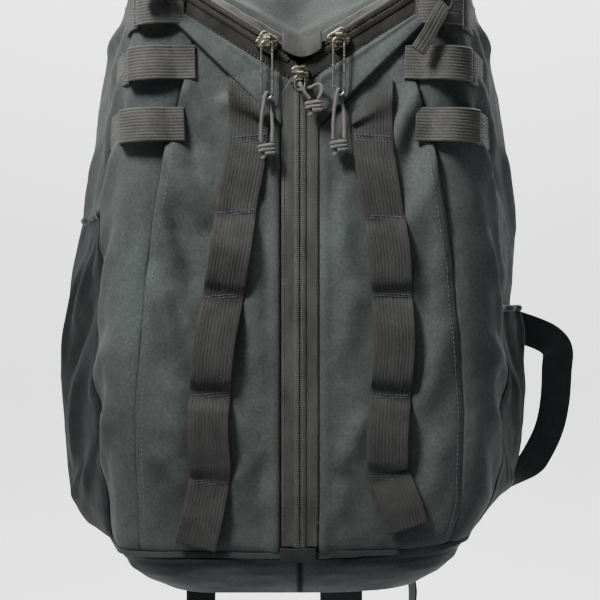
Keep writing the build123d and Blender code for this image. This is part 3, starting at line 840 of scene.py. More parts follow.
def crown_strip(material):
    """The fixed strip of crown between the lid's seam and the back."""
    v, u = grid(16, 110, -1)
    y = HINGE_Y + 1 + (BACK_Y - 0.5 - HINGE_Y - 1) * v
    x = crown_outline(y) * u
    relief = 0.8 * crumple(x * 0.6, y, 24, 99, 3) * share((1 - np.abs(u)) * 9)
    roll = -2.4 * bell((1 - v) * 30, 5)
    roll -= 2.0 * bell((1 - np.abs(u)) * 30, 1) * (1 - v)
    z = crown_height(x, y) + 3.0 + relief * v * (1 - v**6) + roll
    points = stacked(x, y, z)
    panel("crown_strip_cloth", points, material, 1, "crown_rear_strip")


def pocket(side, name, material, mouth, reach):
    """A stretch side pocket let out from the side, its mouth bound and drawn in."""
    rows, cols = 92, 70
    bottom = HEM_Z + 7
    v, u = grid(rows, cols)
    z = bottom + (mouth - bottom) * v
    start = girth_end(z[:, 0], -52)[:, None]
    end = girth_end(z[:, 0], BACK_Y - 1)[:, None] + 4
    s = start + (end - start) * u
    x, y, nx, ny = plan_point(z, s)
    heights, outs = zip(*reach)
    bulge = np.interp(z, heights, outs)
    part = share((y + 52) / 140)
    swell = bulge * (part**0.75) * share((1 - u) * 7)
    folds = [(200, 270, 280, 190, 3.0, 10), (190, 230, 300, 140, -2.6, 9),
             (210, 180, 290, 80, 3.0, 11), (180, 120, 260, 60, 2.4, 9),
             (260, 260, 310, 150, 2.6, 9), (240, 90, 300, 46, 2.2, 8)]
    under = half_surface(side, name, s, z, False)[4]
    under = np.maximum(under + edge_roll(0.5, (z - HEM_Z) / 430, 210, 430), -1.0)
    relief = folds_at(s, z, folds) + 1.1 * crumple(s * 0.7 + z * 0.4, z * 0.5, 26, 61 + side, 3)
    gather = 0.8 * np.sin(s / 3.4) * bell(mouth - z, 7)
    own = swell + (relief + gather) * share(part * 3)
    near = share(1 - part * 2.2)
    out = 1.5 + np.maximum(own, under * near + np.minimum(under, own + 1) * (1 - near))
    out -= 1.2 * bell(mouth - z, 6) + 0.6 * bell(z - bottom, 5)
    out -= 1.3 * bell(u * 140, 4)
    out = np.maximum(out, np.maximum(under, 0) * near + 0.7)
    points = lifted(side * x, y, z, side * nx, ny, out)
    panel(f"pocket_cloth_{name}", points, material, side, f"side_pocket_{name}", 1.4)
    return points[-1] - np.array([0, 0, 0.5])


# Round sections run along a line ----------------------------------------------------------
def run_frames(points, up):
    """Tangents, sideways and upward directions along a line of points."""
    tangent = np.gradient(points, axis=0)
    tangent /= np.maximum(np.linalg.norm(tangent, axis=1, keepdims=True), 1e-9)
    up = np.broadcast_to(np.asarray(up, float), points.shape)
    side = np.cross(tangent, up)
    side /= np.maximum(np.linalg.norm(side, axis=1, keepdims=True), 1e-9)
    return tangent, side, np.cross(side, tangent)


def tube_mesh(name, points, radius, material, sides=10, flat=1.0):
    """A closed round or flattened tube along working-frame points."""
    points = np.asarray(points, float)
    _, side, up = run_frames(points, (0.01, 0.02, 1.0))
    angles = np.linspace(0, 2 * math.pi, sides, endpoint=False)
    ring = (np.cos(angles)[None, :, None] * side[:, None, :]
            + np.sin(angles)[None, :, None] * up[:, None, :] * flat) * radius
    verts = to_row((points[:, None, :] + ring).reshape(-1, 3))
    faces = grid_faces(len(points), sides, True)
    faces.append(tuple(range(sides))[::-1])
    faces.append(tuple(range((len(points) - 1) * sides, len(points) * sides)))
    return link_mesh(name, verts, faces, material)


def web_mesh(name, points, up, width, material, ribs=11, rib=0.28, thick=WEB_T, shape=None):
    """Ribbed webbing: a flat closed strap along a line, with its ribs in the mesh."""
    points = np.asarray(points, float)
    _, side, out = run_frames(points, up)
    cols = ribs * 5 + 1
    q = np.linspace(-1, 1, cols)
    height = rib * np.abs(np.cos(q * ribs * math.pi / 2)) ** 0.7
    height = height - rib * 0.4
    round_edge = np.sqrt(np.clip(1 - share((np.abs(q) - 0.93) / 0.07) ** 2, 0.02, 1))
    half = thick / 2
    upper = (half + height) * round_edge
    lower = -(half + height) * round_edge
    across = side[:, None, :] * q[None, :, None] * width / 2
    top = points[:, None, :] + across + out[:, None, :] * upper[None, :, None]
    under = points[:, None, :] + across + out[:, None, :] * lower[None, :, None]
    loop = np.concatenate([top, under[:, ::-1]], axis=1)
    if shape is not None:
        loop = shape(loop)
    count = loop.shape[1]
    verts = to_row(loop.reshape(-1, 3))
    faces = grid_faces(len(points), count, True, flip=True)
    for start, flip in ((0, False), ((len(points) - 1) * count, True)):
        for j in range(cols - 1):
            quad = (start + j, start + j + 1, start + count - 2 - j, start + count - 1 - j)
            faces.append(quad[::-1] if flip else quad)
    piece = link_mesh(name, verts, faces, material)
    step = lengths(points)
    along = np.repeat(step / 1000, count)
    sideways = np.tile(np.concatenate([q, q[::-1]]) * width / 2000, len(points))
    for label, values in (("along", along), ("across", sideways)):
        layer = piece.data.attributes.new(label, "FLOAT", "POINT")
        layer.data.foreach_set("value", values.astype(np.float32))
    return piece


def smooth_line(points, count):
    """count points along a smooth curve through the given ones."""
    points = np.asarray(points, float)
    padded = np.concatenate([[2 * points[0] - points[1]], points, [2 * points[-1] - points[-2]]])
    fine = []
    for k in range(1, len(padded) - 2):
        p0, p1, p2, p3 = padded[k - 1:k + 3]
        for t in np.linspace(0, 1, 24, endpoint=False):
            fine.append(0.5 * (2 * p1 + (p2 - p0) * t + (2 * p0 - 5 * p1 + 4 * p2 - p3) * t**2
                               + (3 * p1 - p0 - 3 * p2 + p3) * t**3))
    fine.append(padded[-2])
    fine = np.array(fine)
    step = lengths(fine)
    even = np.linspace(0, step[-1], count)
    return read_along(even, step, fine)


def stitch_row(name, points, normals, pitch, length, radius, material, body):
    """A row of stitches: short rounded threads, each dipping into the cloth at its ends."""
    points, normals = np.asarray(points, float), np.asarray(normals, float)
    step = lengths(points)
    count = max(2, int(step[-1] / pitch))
    verts, faces = [], []
    ring = 5
    for k in range(count):
        centre = (k + 0.5) * step[-1] / count
        base = len(verts)
        for t, lift, grow in ((-0.5, -0.4, 0.4), (-0.3, 0.35, 1), (0, 0.6, 1), (0.3, 0.35, 1),
                              (0.5, -0.4, 0.4)):
            at = centre + t * length
            p = read_along(at, step, points)
            n = read_along(at, step, normals)
            n /= np.linalg.norm(n)
            way = read_along(at + 0.5, step, points) - read_along(at - 0.5, step, points)
            across = np.cross(way / max(np.linalg.norm(way), 1e-9), n)
            for a in range(ring):
                angle = 2 * math.pi * a / ring
                verts.append(p + n * (lift * radius + radius * grow * math.sin(angle))
                             + across * radius * grow * math.cos(angle))
        faces += grid_faces(5, ring, True, base)
        faces.append(tuple(range(base, base + ring))[::-1])
        faces.append(tuple(range(base + 4 * ring, base + 5 * ring)))
    piece = link_mesh(name, to_row(np.array(verts)), faces, material)
    return place_body(piece, body, "stitching")


# Zips -------------------------------------------------------------------------------------
def coil_teeth(name, line, out, half, body, material, pitch=1.5):
    """The coil under a coated tape: one low rounded rib for every tooth along the line."""
    line = np.asarray(line, float)
    _, sideways, up = run_frames(line, out)
    step = lengths(line)
    count = int(step[-1] / pitch) * 8
    at = np.linspace(0.2, step[-1] - 0.2, count)
    p, w, n = (read_along(at, step, values) for values in (line, sideways, up))
    reach = np.array([0.22, 0.3, 0.75, 1.4, 2.4, 3.6, 4.6, 5.0])
    high = np.array([-0.5, 0.75, 1.02, 1.12, 1.1, 0.95, 0.55, -0.3])
    ridge = 0.16 * np.sin(at / pitch * 2 * math.pi)[:, None] * np.array(
        [0, 0.9, 1.0, 1.0, 1.0, 0.8, 0.2, 0.0])[None]
    bite = 0.16 * np.sin(at / pitch * 2 * math.pi + (0 if half > 0 else math.pi))
    across = reach[None] + bite[:, None] * np.exp(-reach[None] / 0.5)
    points = (p[:, None] + w[:, None] * (half * across)[:, :, None]
              + n[:, None] * (high[None] + ridge)[:, :, None])
    return place_body(sheet_mesh(name, points, material, 0.4, half), body, "zip_tape")


def tape_strip(name, line, across, width, material, thickness=1.1, wave=0.25, seed=1):
    """A zip tape: a thin strip with a raised bead at the coil and a softly waved outer edge."""
    line, across = np.asarray(line, float), np.asarray(across, float)
    rows, cols = len(line), 16
    q = np.linspace(0, 1, cols)
    points = line[:, None, :] + across[:, None, :] * (q[None, :, None] * width)
    normal = grid_normals(points)
    if np.mean(normal[:, :, 1]) > 0:
        normal = -normal
    steps = np.arange(rows)[:, None] * 0.08
    relief = thickness * (0.9 + 0.25 * bell(q[None] - 0.14, 0.1)
                          - 0.35 * bell(q[None] - 1.0, 0.07))
    relief = relief + wave * value_noise(steps * 1.9, q[None] * 2 + seed, seed) * q
    top = points + normal * relief[:, :, None]
    verts = np.concatenate([top.reshape(-1, 3), (points - normal * 0.05).reshape(-1, 3)])
    total = rows * cols
    facing = grid_normals(points)
    flip = np.mean(np.sum(facing * normal, axis=2)) < 0
    faces = grid_faces(rows, cols, flip=flip) + grid_faces(rows, cols, False, total, not flip)
    faces += rim_faces(rows, cols, flip)
    return link_mesh(name, to_row(verts), faces, material)


def vee_line(side, drop, x_from, x_to, count, out=0.0):
    """Points along one arm of the V on the front, dropped square to the arm."""
    x = np.linspace(x_from, x_to, count)
    rise = math.sqrt(1 + VEE_SLOPE**2)
    z = vee(x) - drop * rise
    s = girth_of(z, x)
    px, py, nx, ny = plan_point(z, s)
    return lifted(side * px, py, z, side * nx, ny, out), stacked(side * nx, ny, 0 * nx)


def centre_zip(side, name, mats):
    """One half of the centre zip, drawn in to a point under the V."""
    width, count = 13.2, 240
    z = np.linspace(40, 391, count)

    def upright(x, out):
        """A line up the bag at x, standing out from the front."""
        return stacked(np.full(count, x), np.full(count, FRONT_Y - out), z)

    limit = np.where(z > VEE_TIP - 30, np.clip((VEE_TIP - z) * VEE_SLOPE, 3, width), width)
    across = np.zeros((count, 3))
    across[:, 0] = side * limit / width
    piece = tape_strip(f"centre_tape_{name}", upright(side * 0.4, 0.0), across, width,
                       mats["tape"], seed=3 + side)
    place_body(piece, "pack", "zip_tape", f"centre_stringer_{name}")
    coil_teeth(f"centre_coil_{name}", upright(0.0, 1.0), FORWARD, -side, "pack", mats["tape"])
    sewn = slice(8, -50)
    stitch_row(f"centre_topstitch_{name}", upright(side * 11.8, 1.3)[sewn],
               np.tile(FORWARD, (count, 1))[sewn], 2.8, 2.0, 0.22, mats["cord"], "pack")


def vee_zip(side, name, mats):
    """An arm of the V: its lower tape is on the bag, its upper tape on the lid."""
    # The V's tapes and coils take the darker tape copy, which holds painted shade.
    tape, count, end = mats["vee_tape"], 150, 124
    edge, _ = vee_line(side, 0.5, 2.0, end, count)
    lower, _ = vee_line(side, 1.5, 2.0, end, count)
    piece = tape_strip(f"vee_tape_{name}", edge, unit_rows(lower - edge), 14.5, tape,
                       seed=7 + side)
    place_body(piece, "pack", "zip_tape", f"diagonal_stringer_{name}")
    mid, out = vee_line(side, 0.0, 7.0, end, count, 1.0)
    coil_teeth(f"vee_coil_low_{name}", mid, out, side, "pack", tape)
    seam, out = vee_line(side, 12.6, 8.0, 84, 110, 1.2)
    stitch_row(f"vee_topstitch_{name}", seam, out, 3.0, 2.1, 0.24, mats["thread"], "pack")
    front, out = vee_line(side, -2.2, 2.0, end - 2, count, 0.4)
    back_y = np.minimum(front[:, 1] + 10.5, 60)
    reach = stacked(front[:, 0] * 0.997, back_y, crown_height(front[:, 0], back_y) + 5.2)
    piece = tape_strip(f"lid_tape_{name}", front, unit_rows(reach - front), 15.5, tape,
                       seed=9 + side)
    place_body(piece, "lid", "zip_tape", f"lid_stringer_{name}")
    mid, out = vee_line(side, -0.35, 7.0, end, count, 1.0)
    coil_teeth(f"vee_coil_high_{name}", mid, out, -side, "lid", tape)
    # A row of pale dots along the coil at the tooth pitch: painted highlights on the teeth.
    dots, out = vee_line(side, 0.25, 9.0, end - 2, count, 2.5)
    stitch_row(f"vee_painted_glints_{name}", dots, out, 1.5, 0.8, 0.26, mats["painted_coil_glint"], "pack")


def make_small_front(mats):
    """The folded band over the V's tip and the tab at the foot of the centre zip."""
    v, u = grid(40, 22, -1)
    x = 1.5 + 14.4 * u
    hang = 5.5 * np.abs(u) ** 2.2
    depth = np.where(v < 0.5, v, 1 - v)
    z = 410.5 - 30 * depth * (1 - 0.12 * np.abs(u)) + hang * 0.9
    y = FRONT_Y - 3.3 - 1.9 * np.sin(v * math.pi) - 0.5 * np.cos(v * math.pi)
    y = y + 0.25 * np.sin(u * 9) * depth
    piece = sheet_mesh("nose_band_tape", stacked(x, y, z), mats["tape"], 0.5, 1)
    place_body(piece, "lid", "zip_tape", "nose_band")
    v, u = grid(14, 22, -1)
    x = -1 + 13.6 * u
    z = HEM_Z - 2 + 10.6 * v + 0.3 * np.sin(u * 5)
    y = FRONT_Y - 2.5 + 0.5 * u**2 - 0.35 * np.sin(v * math.pi)
    piece = sheet_mesh("zip_end_cover", stacked(x, y, z), mats["black"], 1.4, 1)
    place_body(piece, "pack", "zip_tape", "zip_end_tab")


# Webbing on the front ---------------------------------------------------------------------
def front_relief(side, name, x, z):
    """How far the front cloth stands off its flat at a front-view place."""
    z = np.array([float(z)])
    s = girth_of(z, np.array([abs(float(x))]))
    return float(half_surface(side, name, s, z, True)[4][0])


def daisy_line(name):
    """Side view of a daisy chain: (height, distance off the cloth) from the top down."""
    (_, top), _, tacks = DAISY_LINES[name]
    upper = tacks[0]
    stations = [(top + 4, 0.6), (top - 3, 3.4), (top - 8, 4.0), (top - 15, 0.8), (upper, 0.4)]
    for lower, high in zip(tacks[1:], DAISY_STANDS_OFF):
        span = upper - lower
        stations += [(upper - 4, 1.0), (upper - 0.2 * span, high * 0.72),
                     (upper - 0.48 * span, high), (lower + 0.2 * span, high * 0.78),
                     (lower + 4, 1.1), (lower, 0.4)]
        upper = lower
    tail = 44 if name == "left" else 36
    stations += [(upper - 5, 1.2), (upper - 18, 5.0), (upper - tail * 0.7, 6.8),
                 (upper - tail - 3, 6.0)]
    return stations


def daisy_strap(name, side, material):
    """A daisy chain's strap with its hemmed tail; returns the line it follows."""
    points = []
    for z, out in daisy_line(name):
        x = float(daisy_x(name, z))
        cloth = [front_relief(side, name, x + dx, z) for dx in (-12, 0, 12)]
        points.append((x, FRONT_Y - out - 1.1 - max(0.0, *cloth), z))
    line = smooth_line(points, 230)
    centre = abs(float(daisy_x(name, DAISY_LINES[name][0][1])))

    def slant(loop):
        """The top end cut along the yoke that it is sewn under."""
        sloped = loop.copy()
        near_top = smoothstep((loop[..., 2] - YOKE_CUT_Z) / 20)
        sloped[..., 2] += YOKE_CUT_SLOPE * (np.abs(loop[..., 0]) - centre) * near_top
        return sloped

    web = web_mesh(f"daisy_web_{name}", line, FORWARD, DAISY_W, material, 12, 0.50, shape=slant)
    place_body(web, "pack", "webbing", f"daisy_webbing_{name}")
    fold = line[-22:].copy()
    fold[:, 1] += 2.1
    hem = web_mesh(f"daisy_hem_{name}", fold, FORWARD, DAISY_W - 0.6, material, 12, 0.2, 1.5)
    place_body(hem, "pack", "webbing")
    return line


def daisy_tacks(name, line, thread):
    """Rows of stitches across a daisy chain: three at its ends, two at the others."""
    top, bottom, tacks = DAISY_LINES[name]
    slope = (bottom[0] - top[0]) / (top[1] - bottom[1])
    across = np.linspace(-DAISY_W / 2 + 2, DAISY_W / 2 - 2, 12)
    for k, tack in enumerate(tacks):
        near = line[np.argmin(np.abs(line[:, 2] - tack))]
        rows = (-1.6, 0.0, 1.6) if k in (0, len(tacks) - 1) else (-0.9, 0.9)
        for r, dz in enumerate(rows):
            row = stacked(near[0] + across, np.full(12, near[1] - 1.15),
                          near[2] + dz - across * slope)
            stitch_row(f"daisy_tack_{name}_{k}_{r}", row, np.tile(FORWARD, (12, 1)), 1.9, 1.7,
                       0.42, thread, "pack")


def make_daisies(mats):
    for name, side in SIDES:
        daisy_tacks(name, daisy_strap(name, side, mats["webbing"]), mats["navy"])
    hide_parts("bartacks")


LOOP_ROWS = ((433.0, 84, 58), (393.0, 76, 60), (348.0, 84, 62))  # height, inner end, stitch angle


def loop_line(side, z, inner_x, tack_angle):
    """Plan of one side loop: flat on the side, sewn down, then standing off to the front."""
    lean, centre_x = (float(value[0]) for value in front_corner(np.array([z - 12.0])))
    centre_y = FRONT_Y + FRONT_R

    def at(angle, out):
        reach = FRONT_R + out
        return (side * (centre_x + reach * math.sin(math.radians(angle))),
                centre_y - reach * math.cos(math.radians(angle)), z)

    turn = 90 - math.degrees(lean)
    flat = at(turn, 2.0)
    points = [(flat[0] + side * 44 * math.sin(lean), flat[1] + 44 * math.cos(lean), z),
              (flat[0] + side * 22 * math.sin(lean), flat[1] + 22 * math.cos(lean), z),
              flat, at(tack_angle + 5, 2.0), at(tack_angle, 1.8), at(tack_angle - 8, 5.5),
              at(tack_angle - 16, 10.2), at(32, 11.6), at(20, 10.6), at(9, 5.2), at(2, 2.1),
              (side * (inner_x + 4), FRONT_Y - 1.9, z), (side * inner_x, FRONT_Y - 1.7, z)]
    return smooth_line(points, 110), at(tack_angle + 2, 3.1)


def make_side_loops(mats):
    for name, side in SIDES:
        for k, (z, inner_x, tack) in enumerate(LOOP_ROWS):
            line, at = loop_line(side, z, inner_x, tack)
            sag = np.sin(np.linspace(0, 1, len(line)) * math.pi) * 1.2
            line[:, 2] -= sag * (1 if k else 0.4)
            outward = line - np.array([0, -20.0, z])
            outward[:, 2] = 0
            outward = unit_rows(outward)
            web = web_mesh(f"side_loop_{name}_{k}", line, outward, LOOP_W, mats["side_webbing"],
                           11, 0.42)
            place_body(web, "pack", "webbing")
            near = int(np.argmin(np.linalg.norm(line - np.array(at), axis=1)))
            centre, out = line[near], outward[near]
            span = np.linspace(-10.5, 10.5, 10)
            for r, shift in enumerate((-1.3, 0.0, 1.3)):
                way = line[near + 1] - line[near - 1]
                way /= np.linalg.norm(way)
                row = centre + way * shift + out * 1.25 + np.outer(span, (0, 0, 1.0))
                stitch_row(f"loop_tack_{name}_{k}_{r}", row, np.tile(out, (10, 1)), 2.0, 1.8,
                           0.4, mats["thread"], "pack")
        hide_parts(f"side_loops_{name}")


# Cords ------------------------------------------------------------------------------------
HANGING = [(-4.0, -1.5, -73), (-4.2, -2.2, -58), (-2.2, -3.2, -46), (-1.0, -2.7, -37.4),
           (1.0, 2.5, -37.4), (2.2, 2.7, -46), (4.4, 0.4, -58), (4.0, -1.5, -73)]
SHORT = [(7.0, -1.5, -17), (3.2, -3.0, -12), (-0.6, -2.9, -5.5), (0.9, 2.3, -5.4),
         (6.0, 2.3, -9.5), (13.5, 0.5, -5), (17.5, -1.0, -10.5), (13.0, -1.5, -17)]
PULLS = {"centre": (0.0, VEE_TIP - 10), "left": (-24.0, VEE_TIP + VEE_SLOPE * 24),
         "right": (28.0, VEE_TIP + VEE_SLOPE * 28)}


def knot_mesh(name, centre, material):
    """A barrel knot: turns of the cord wound round its own two strands, with short tails."""
    r = CORD_D / 2 + 0.2
    turn = np.linspace(0.3, 5.1 * math.pi, 150)
    part = np.linspace(-1, 1, 150)
    wound = stacked(centre[0] + 5.0 * np.sin(turn) + 0.6 * part,
                    centre[1] + 3.0 * np.cos(turn), centre[2] - 3.4 * part)
    turns = tube_mesh(name, wound, r, material, 10)
    tail = smooth_line([(centre[0] - 1.0, centre[1], centre[2] + 4.0),
                        (centre[0] + 0.8, centre[1] - 0.4, centre[2]),
                        (centre[0] - 1.2, centre[1] + 0.3, centre[2] - 4.5),
                        (centre[0] - 3.4, centre[1], centre[2] - 7.2)], 50)
    return turns, tube_mesh(name + "_tail", tail, r, material, 10)


def make_pulls(mats):
    for name, (x, z) in PULLS.items():
        body = f"{name}_pull"
        side = name != "centre"
        route = HANGING if side else SHORT
        here = (x, FRONT_Y - BRIDGE_OUT, z)
        curve = bpy.data.curves.new(f"pull_cord_{name}_line", "CURVE")
        curve.dimensions = "3D"
        spline = curve.splines.new("NURBS")
        spline.points.add(len(route) - 1)
        for point, (dx, dy, dz) in zip(spline.points, route):
            point.co = (*P(here[0] + dx, here[1] + dy, here[2] + dz), 1)
        spline.order_u = 3
        spline.use_endpoint_u = True
        spline.resolution_u = 12
        curve.bevel_depth = CORD_D / 2000
        curve.bevel_resolution = 4
        curve.use_fill_caps = True
        curve.materials.append(mats["cord"])
        cord = bpy.data.objects.new(f"pull_cord_line_{name}", curve)
        bpy.context.scene.collection.objects.link(cord)
        place_body(cord, body, "cord", f"pull_cord_{name}")
        centre = (here[0] + (0 if side else 10), here[1] - 1.5, here[2] - (78 if side else 22))
        knot, wrap = knot_mesh(f"pull_knot_turns_{name}", centre, mats["cord"])
        place_body(knot, body, "cord", f"pull_knot_{name}")
        place_body(wrap, body, "cord")


# Carrying side ----------------------------------------------------------------------------
def make_haul_loop(mats):
    half = [(45.2, 506), (43.5, 518), (36, 527.5), (20, 530.9)]
    feet = [(33, 499.6), (41, 500.2)]
    outline = ([(-x, z) for x, z in feet + half] + [(0, 531.3)] + half[::-1] + feet[::-1])
    line = smooth_line([(x, HAUL_Y, z) for x, z in outline], 120)
    up = line - np.array([0, HAUL_Y, 480.0])
    up[:, 1] = 0
    black_web(mats, "haul_webbing", line, up, 20, 9, 0.22, "pack", "haul_loop")


def padded_strip(name, line, out, widths, thick, material):
    """A padded strap with a sewn centre line, crowned and pulled in at its bound edges."""
    _, side, up = run_frames(line, out)
    q = np.linspace(-1, 1, 33)
    crown = (1 - np.abs(q) ** 3.2) ** 0.8
    groove = 0.32 * bell(q, 0.07)
    steps = np.arange(len(line))[:, None]
    puff = 1 + 0.06 * np.sin(steps * 0.35 + q[None] * 2)
    half = np.maximum(crown - groove, 0.12)[None] * puff * thick / 2
    across = side[:, None, :] * q[None, :, None] * (np.asarray(widths)[:, None, None] / 2)
    ends = np.clip(np.minimum(np.arange(len(line)), np.arange(len(line))[::-1]) / 5, 0.3, 1)
    half = half * ends[:, None]
    top = line[:, None, :] + across + up[:, None, :] * half[:, :, None]
    under = line[:, None, :] + across - up[:, None, :] * half[:, :, None] * 0.9
    loop = np.concatenate([top, under[:, ::-1][:, 1:-1]], axis=1)
    count = loop.shape[1]
    verts = to_row(loop.reshape(-1, 3))
    faces = grid_faces(len(line), count, True, flip=True)
    faces.append(tuple(range(count)))
    faces.append(tuple(range((len(line) - 1) * count, len(line) * count))[::-1])
    piece = link_mesh(name, verts, faces, material)
    return piece, (line[:, None, :] + across)[:, 0], (line[:, None, :] + across)[:, -1]


def turned(points, side):
    """The splay of a shoulder strap about its top, seen from behind."""
    angle = math.radians(-side * 9)
    points = np.asarray(points, float)
    x = points[:, 0] * math.cos(angle) + points[:, 2] * math.sin(angle)
    z = -points[:, 0] * math.sin(angle) + points[:, 2] * math.cos(angle)
    return stacked(x + side * 52, points[:, 1], z + 452)


def behind(*places):
    """Places given by their distance behind the back panel."""
    return [(x, BACK_Y + out, z) for x, out, z in places]


def black_web(mats, name, line, up, width, ribs, rib, body, *nodes):
    """A strap of the plain black webbing."""
    web = web_mesh(name, line, up, width, mats["black"], ribs, rib)
    return place_body(web, body, "black_webbing", *nodes)


def make_back_pad(mats):
    """The back pad, with a sewn centre channel and cross channels."""
    v, u = np.meshgrid(np.linspace(-1, 1, 120), np.linspace(-1, 1, 80), indexing="ij")
    far = (np.abs(u) ** 5 + np.abs(v) ** 7) ** (1 / 6)
    z = 243.5 + 181 * v * (1 - 0.05 * np.abs(u) ** 4)
    x = 117.5 * u * (1 - 0.10 * np.abs(v) ** 6)
    crown = share(1 - far**7) ** 0.5
    groove = 0.75 * bell(x, 11)
    for level in (130, 205, 280, 355):
        groove = np.maximum(groove, 0.45 * bell(z - level + 0.12 * np.abs(x), 5))
    y = BACK_Y + 0.6 + 12.2 * crown * (1 - groove)
    pad = sheet_mesh("back_padding", stacked(x, y, z), mats["foam"], 0.5, -1)
    place_body(pad, "pack", "foam", "back_pad")


def shoulder_strap(side, name, mats):
    count = 130
    run = smooth_line(behind((0, 6, 0), (0, 20, 7), (0, 38, -4), (0, 47.5, -40),
                             (0, 50.5, -100), (0, 47, -160), (0, 40.5, -214)), count)
    widths = np.interp(np.linspace(0, 1, count), (0, 0.2, 0.6, 0.92, 1), (58, 62, 60, 44, 34))
    strap, *edges = padded_strip(f"shoulder_padding_{name}", turned(run, side),
                                 np.tile([0, 1.0, 0.35], (count, 1)), widths, 11, mats["foam"])
    place_body(strap, "pack", "foam", f"shoulder_strap_{name}")
    for k, edge in enumerate(edges):
        binding = tube_mesh(f"strap_binding_{name}_{k}", edge, 1.5, mats["black"], 8)
        place_body(binding, "pack", "black_webbing")


def lower_web(side, mats):
    """The adjuster under a shoulder strap; the right one folds over beside the bag and hangs."""
    if side < 0:
        route = smooth_line(behind((-150, 15, 36), (-158, 17.5, 62), (-166, 21, 110),
                                   (-164, 26, 168), (-146, 32, 204), (-116, 37, 214)), 120)
        facing = np.tile([-1.0, 0.0, 0.4], (120, 1))
        facing[:, 1] = np.linspace(0.0, 1.8, 120)
        black_web(mats, "lower_web_left", route, facing, LOOP_W, 10, 0.25, "pack",
                  "lower_webbing_left")
        return
    route = smooth_line(behind(
        (116, 33, 214.5), (150, 31, 208), (184, 30, 198.5), (208, 29, 190), (219, 30, 183.5),
        (224.5, 33.5, 175), (224, 35.5, 160), (222, 34, 132), (216, 29, 108), (204, 21, 86),
        (188, 14, 64), (166, 6, 36)), 150)
    turn = np.interp(np.linspace(0, 1, 150), (0, 0.42, 0.5, 0.82, 1.0), (0, 0, 0.12, 0.35, 1.25))
    facing = stacked(np.sin(turn), -np.cos(turn), 0 * turn)
    black_web(mats, "lower_web_right", route, facing, 27, 10, 0.25, "pack",
              "lower_webbing_right")


def make_straps(mats):
    for name, side in SIDES:
        shoulder_strap(side, name, mats)
        lower_web(side, mats)
        lifter = smooth_line(behind((side * 62, 0.9, 470), (side * 62, 20, 475),
                                    (side * 62, 43, 463)), 50)
        web = black_web(mats, f"lifter_web_{name}", lifter, (0, 0.2, 1), 20, 8, 0.2, "pack")
        if side < 0:
            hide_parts("load_lifters")
    halves = (("right", 20.5, 95, "pack"), ("left", -97, -39, "sternum_male_half"))
    for name, x0, x1, body in halves:
        line = stacked(np.linspace(x0, x1, 40), np.full(40, BACK_Y + 60.5), np.full(40, 372.0))
        line[:, 2] -= 0.8 * np.sin(np.linspace(0, math.pi, 40))
        black_web(mats, f"sternum_web_{name}", line, (0, 1, 0), 20, 8, 0.2, body,
                  f"sternum_webbing_{name}")


def make_hip_belt(mats):
    top, out = 36, 3.2
    for name, x, bottom in (("left", -84.5, -88), ("right", 35.0, 0)):
        line = stacked(np.full(50, x), np.full(50, BACK_Y + out), np.linspace(top, bottom, 50))
        line[:, 1] += 0.5 * np.sin(np.linspace(0, 3, 50))
        black_web(mats, f"hip_web_{name}", line, (0, 1, 0), 25, 10, 0.2, f"hip_belt_{name}",
                  f"hip_webbing_{name}")
    line = smooth_line(behind((97, 4, 34.5), (97, 5, 24), (97.3, out + 7.5, 4),
                              (97, out + 11, -22), (96.6, out + 11.7, -52),
                              (97.2, out + 11.7, -78)), 70)
    turn = np.interp(np.linspace(0, 1, 70), (0, 0.12, 0.5, 1), (0, 0, 1.35, math.pi / 2))
    facing = stacked(np.sin(turn), np.cos(turn), 0 * turn)
    black_web(mats, "hip_tail_web", line, facing, 25, 10, 0.2, "hip_belt_right", "hip_tail")


def make_bindings(mats, rims):
    """The hem round the foot of the bag and the bound mouths of the pockets."""
    s = np.linspace(0, 1, 150)
    half = girth_end(np.array([34.0]), BACK_Y - 2)[0]
    rights = []
    for value in s:
        x, y, nx, ny = plan_point(np.array([34.0]), np.array([value * half]))
        rights.append((x[0] + nx[0] * 0.4, y[0] + ny[0] * 0.4, 34.0))
    right = np.array(rights)
    line = np.concatenate([(right[::-1] * (-1, 1, 1))[:-1], right])
    line[:, 2] += 0.5 * np.sin(line[:, 0] / 17.0)
    out = line - np.array([0, 0, 34.0])
    out[:, 2] = 0
    hem = web_mesh("hem_tape", line, out, 4.2, mats["base"], 3, 0.1, 1.3)
    place_body(hem, "pack", "zip_tape", "hem_binding")
    for name, rim in rims.items():
        bound = tube_mesh(f"pocket_rim_{name}", rim, 2.1, mats["black"], 9, 1.3)
        place_body(bound, "pack", "black_webbing")


def make_tether(mats):
    line = smooth_line([(84.5, FRONT_Y - 16.5, 399), (91, FRONT_Y - 15.5, 409),
                        (96, FRONT_Y - 14.5, 418), (102, FRONT_Y - 12, 429),
                        (105, FRONT_Y - 10.5, 433)], 60)
    web = web_mesh("tether_web", line, (0.2, -1, 0), 11, mats["side_webbing"], 4, 0.6, 2.2)
    place_body(web, "pack", "webbing", "tether_strap")
    angle = np.linspace(0, 2 * math.pi, 40)
    loop = stacked(106 + 4.2 * np.cos(angle), np.full(40, FRONT_Y - 11.0),
                   436 + 7 * np.sin(angle))
    ring = tube_mesh("tether_loop", loop, 1.5, mats["black"], 8)
    place_body(ring, "pack", "black_webbing")


def make_toggle_tab(mats):
    """The elastic that holds the toggle to the top side loop."""
    line = smooth_line([(-97, FRONT_Y - 6, 437), (-100, FRONT_Y - 12, 441),
                        (-104, FRONT_Y - 17.5, 445), (-108, FRONT_Y - 21.5, 447.5),
                        (-110.5, FRONT_Y - 26, 446), (-108, FRONT_Y - 26.5, 443),
                        (-104, FRONT_Y - 22, 441), (-98, FRONT_Y - 12, 436),
                        (-95, FRONT_Y - 6, 433)], 60)
    tab = tube_mesh("toggle_elastic", line, 1.3, mats["black"], 9)
    place_body(tab, "pack", "black_webbing")


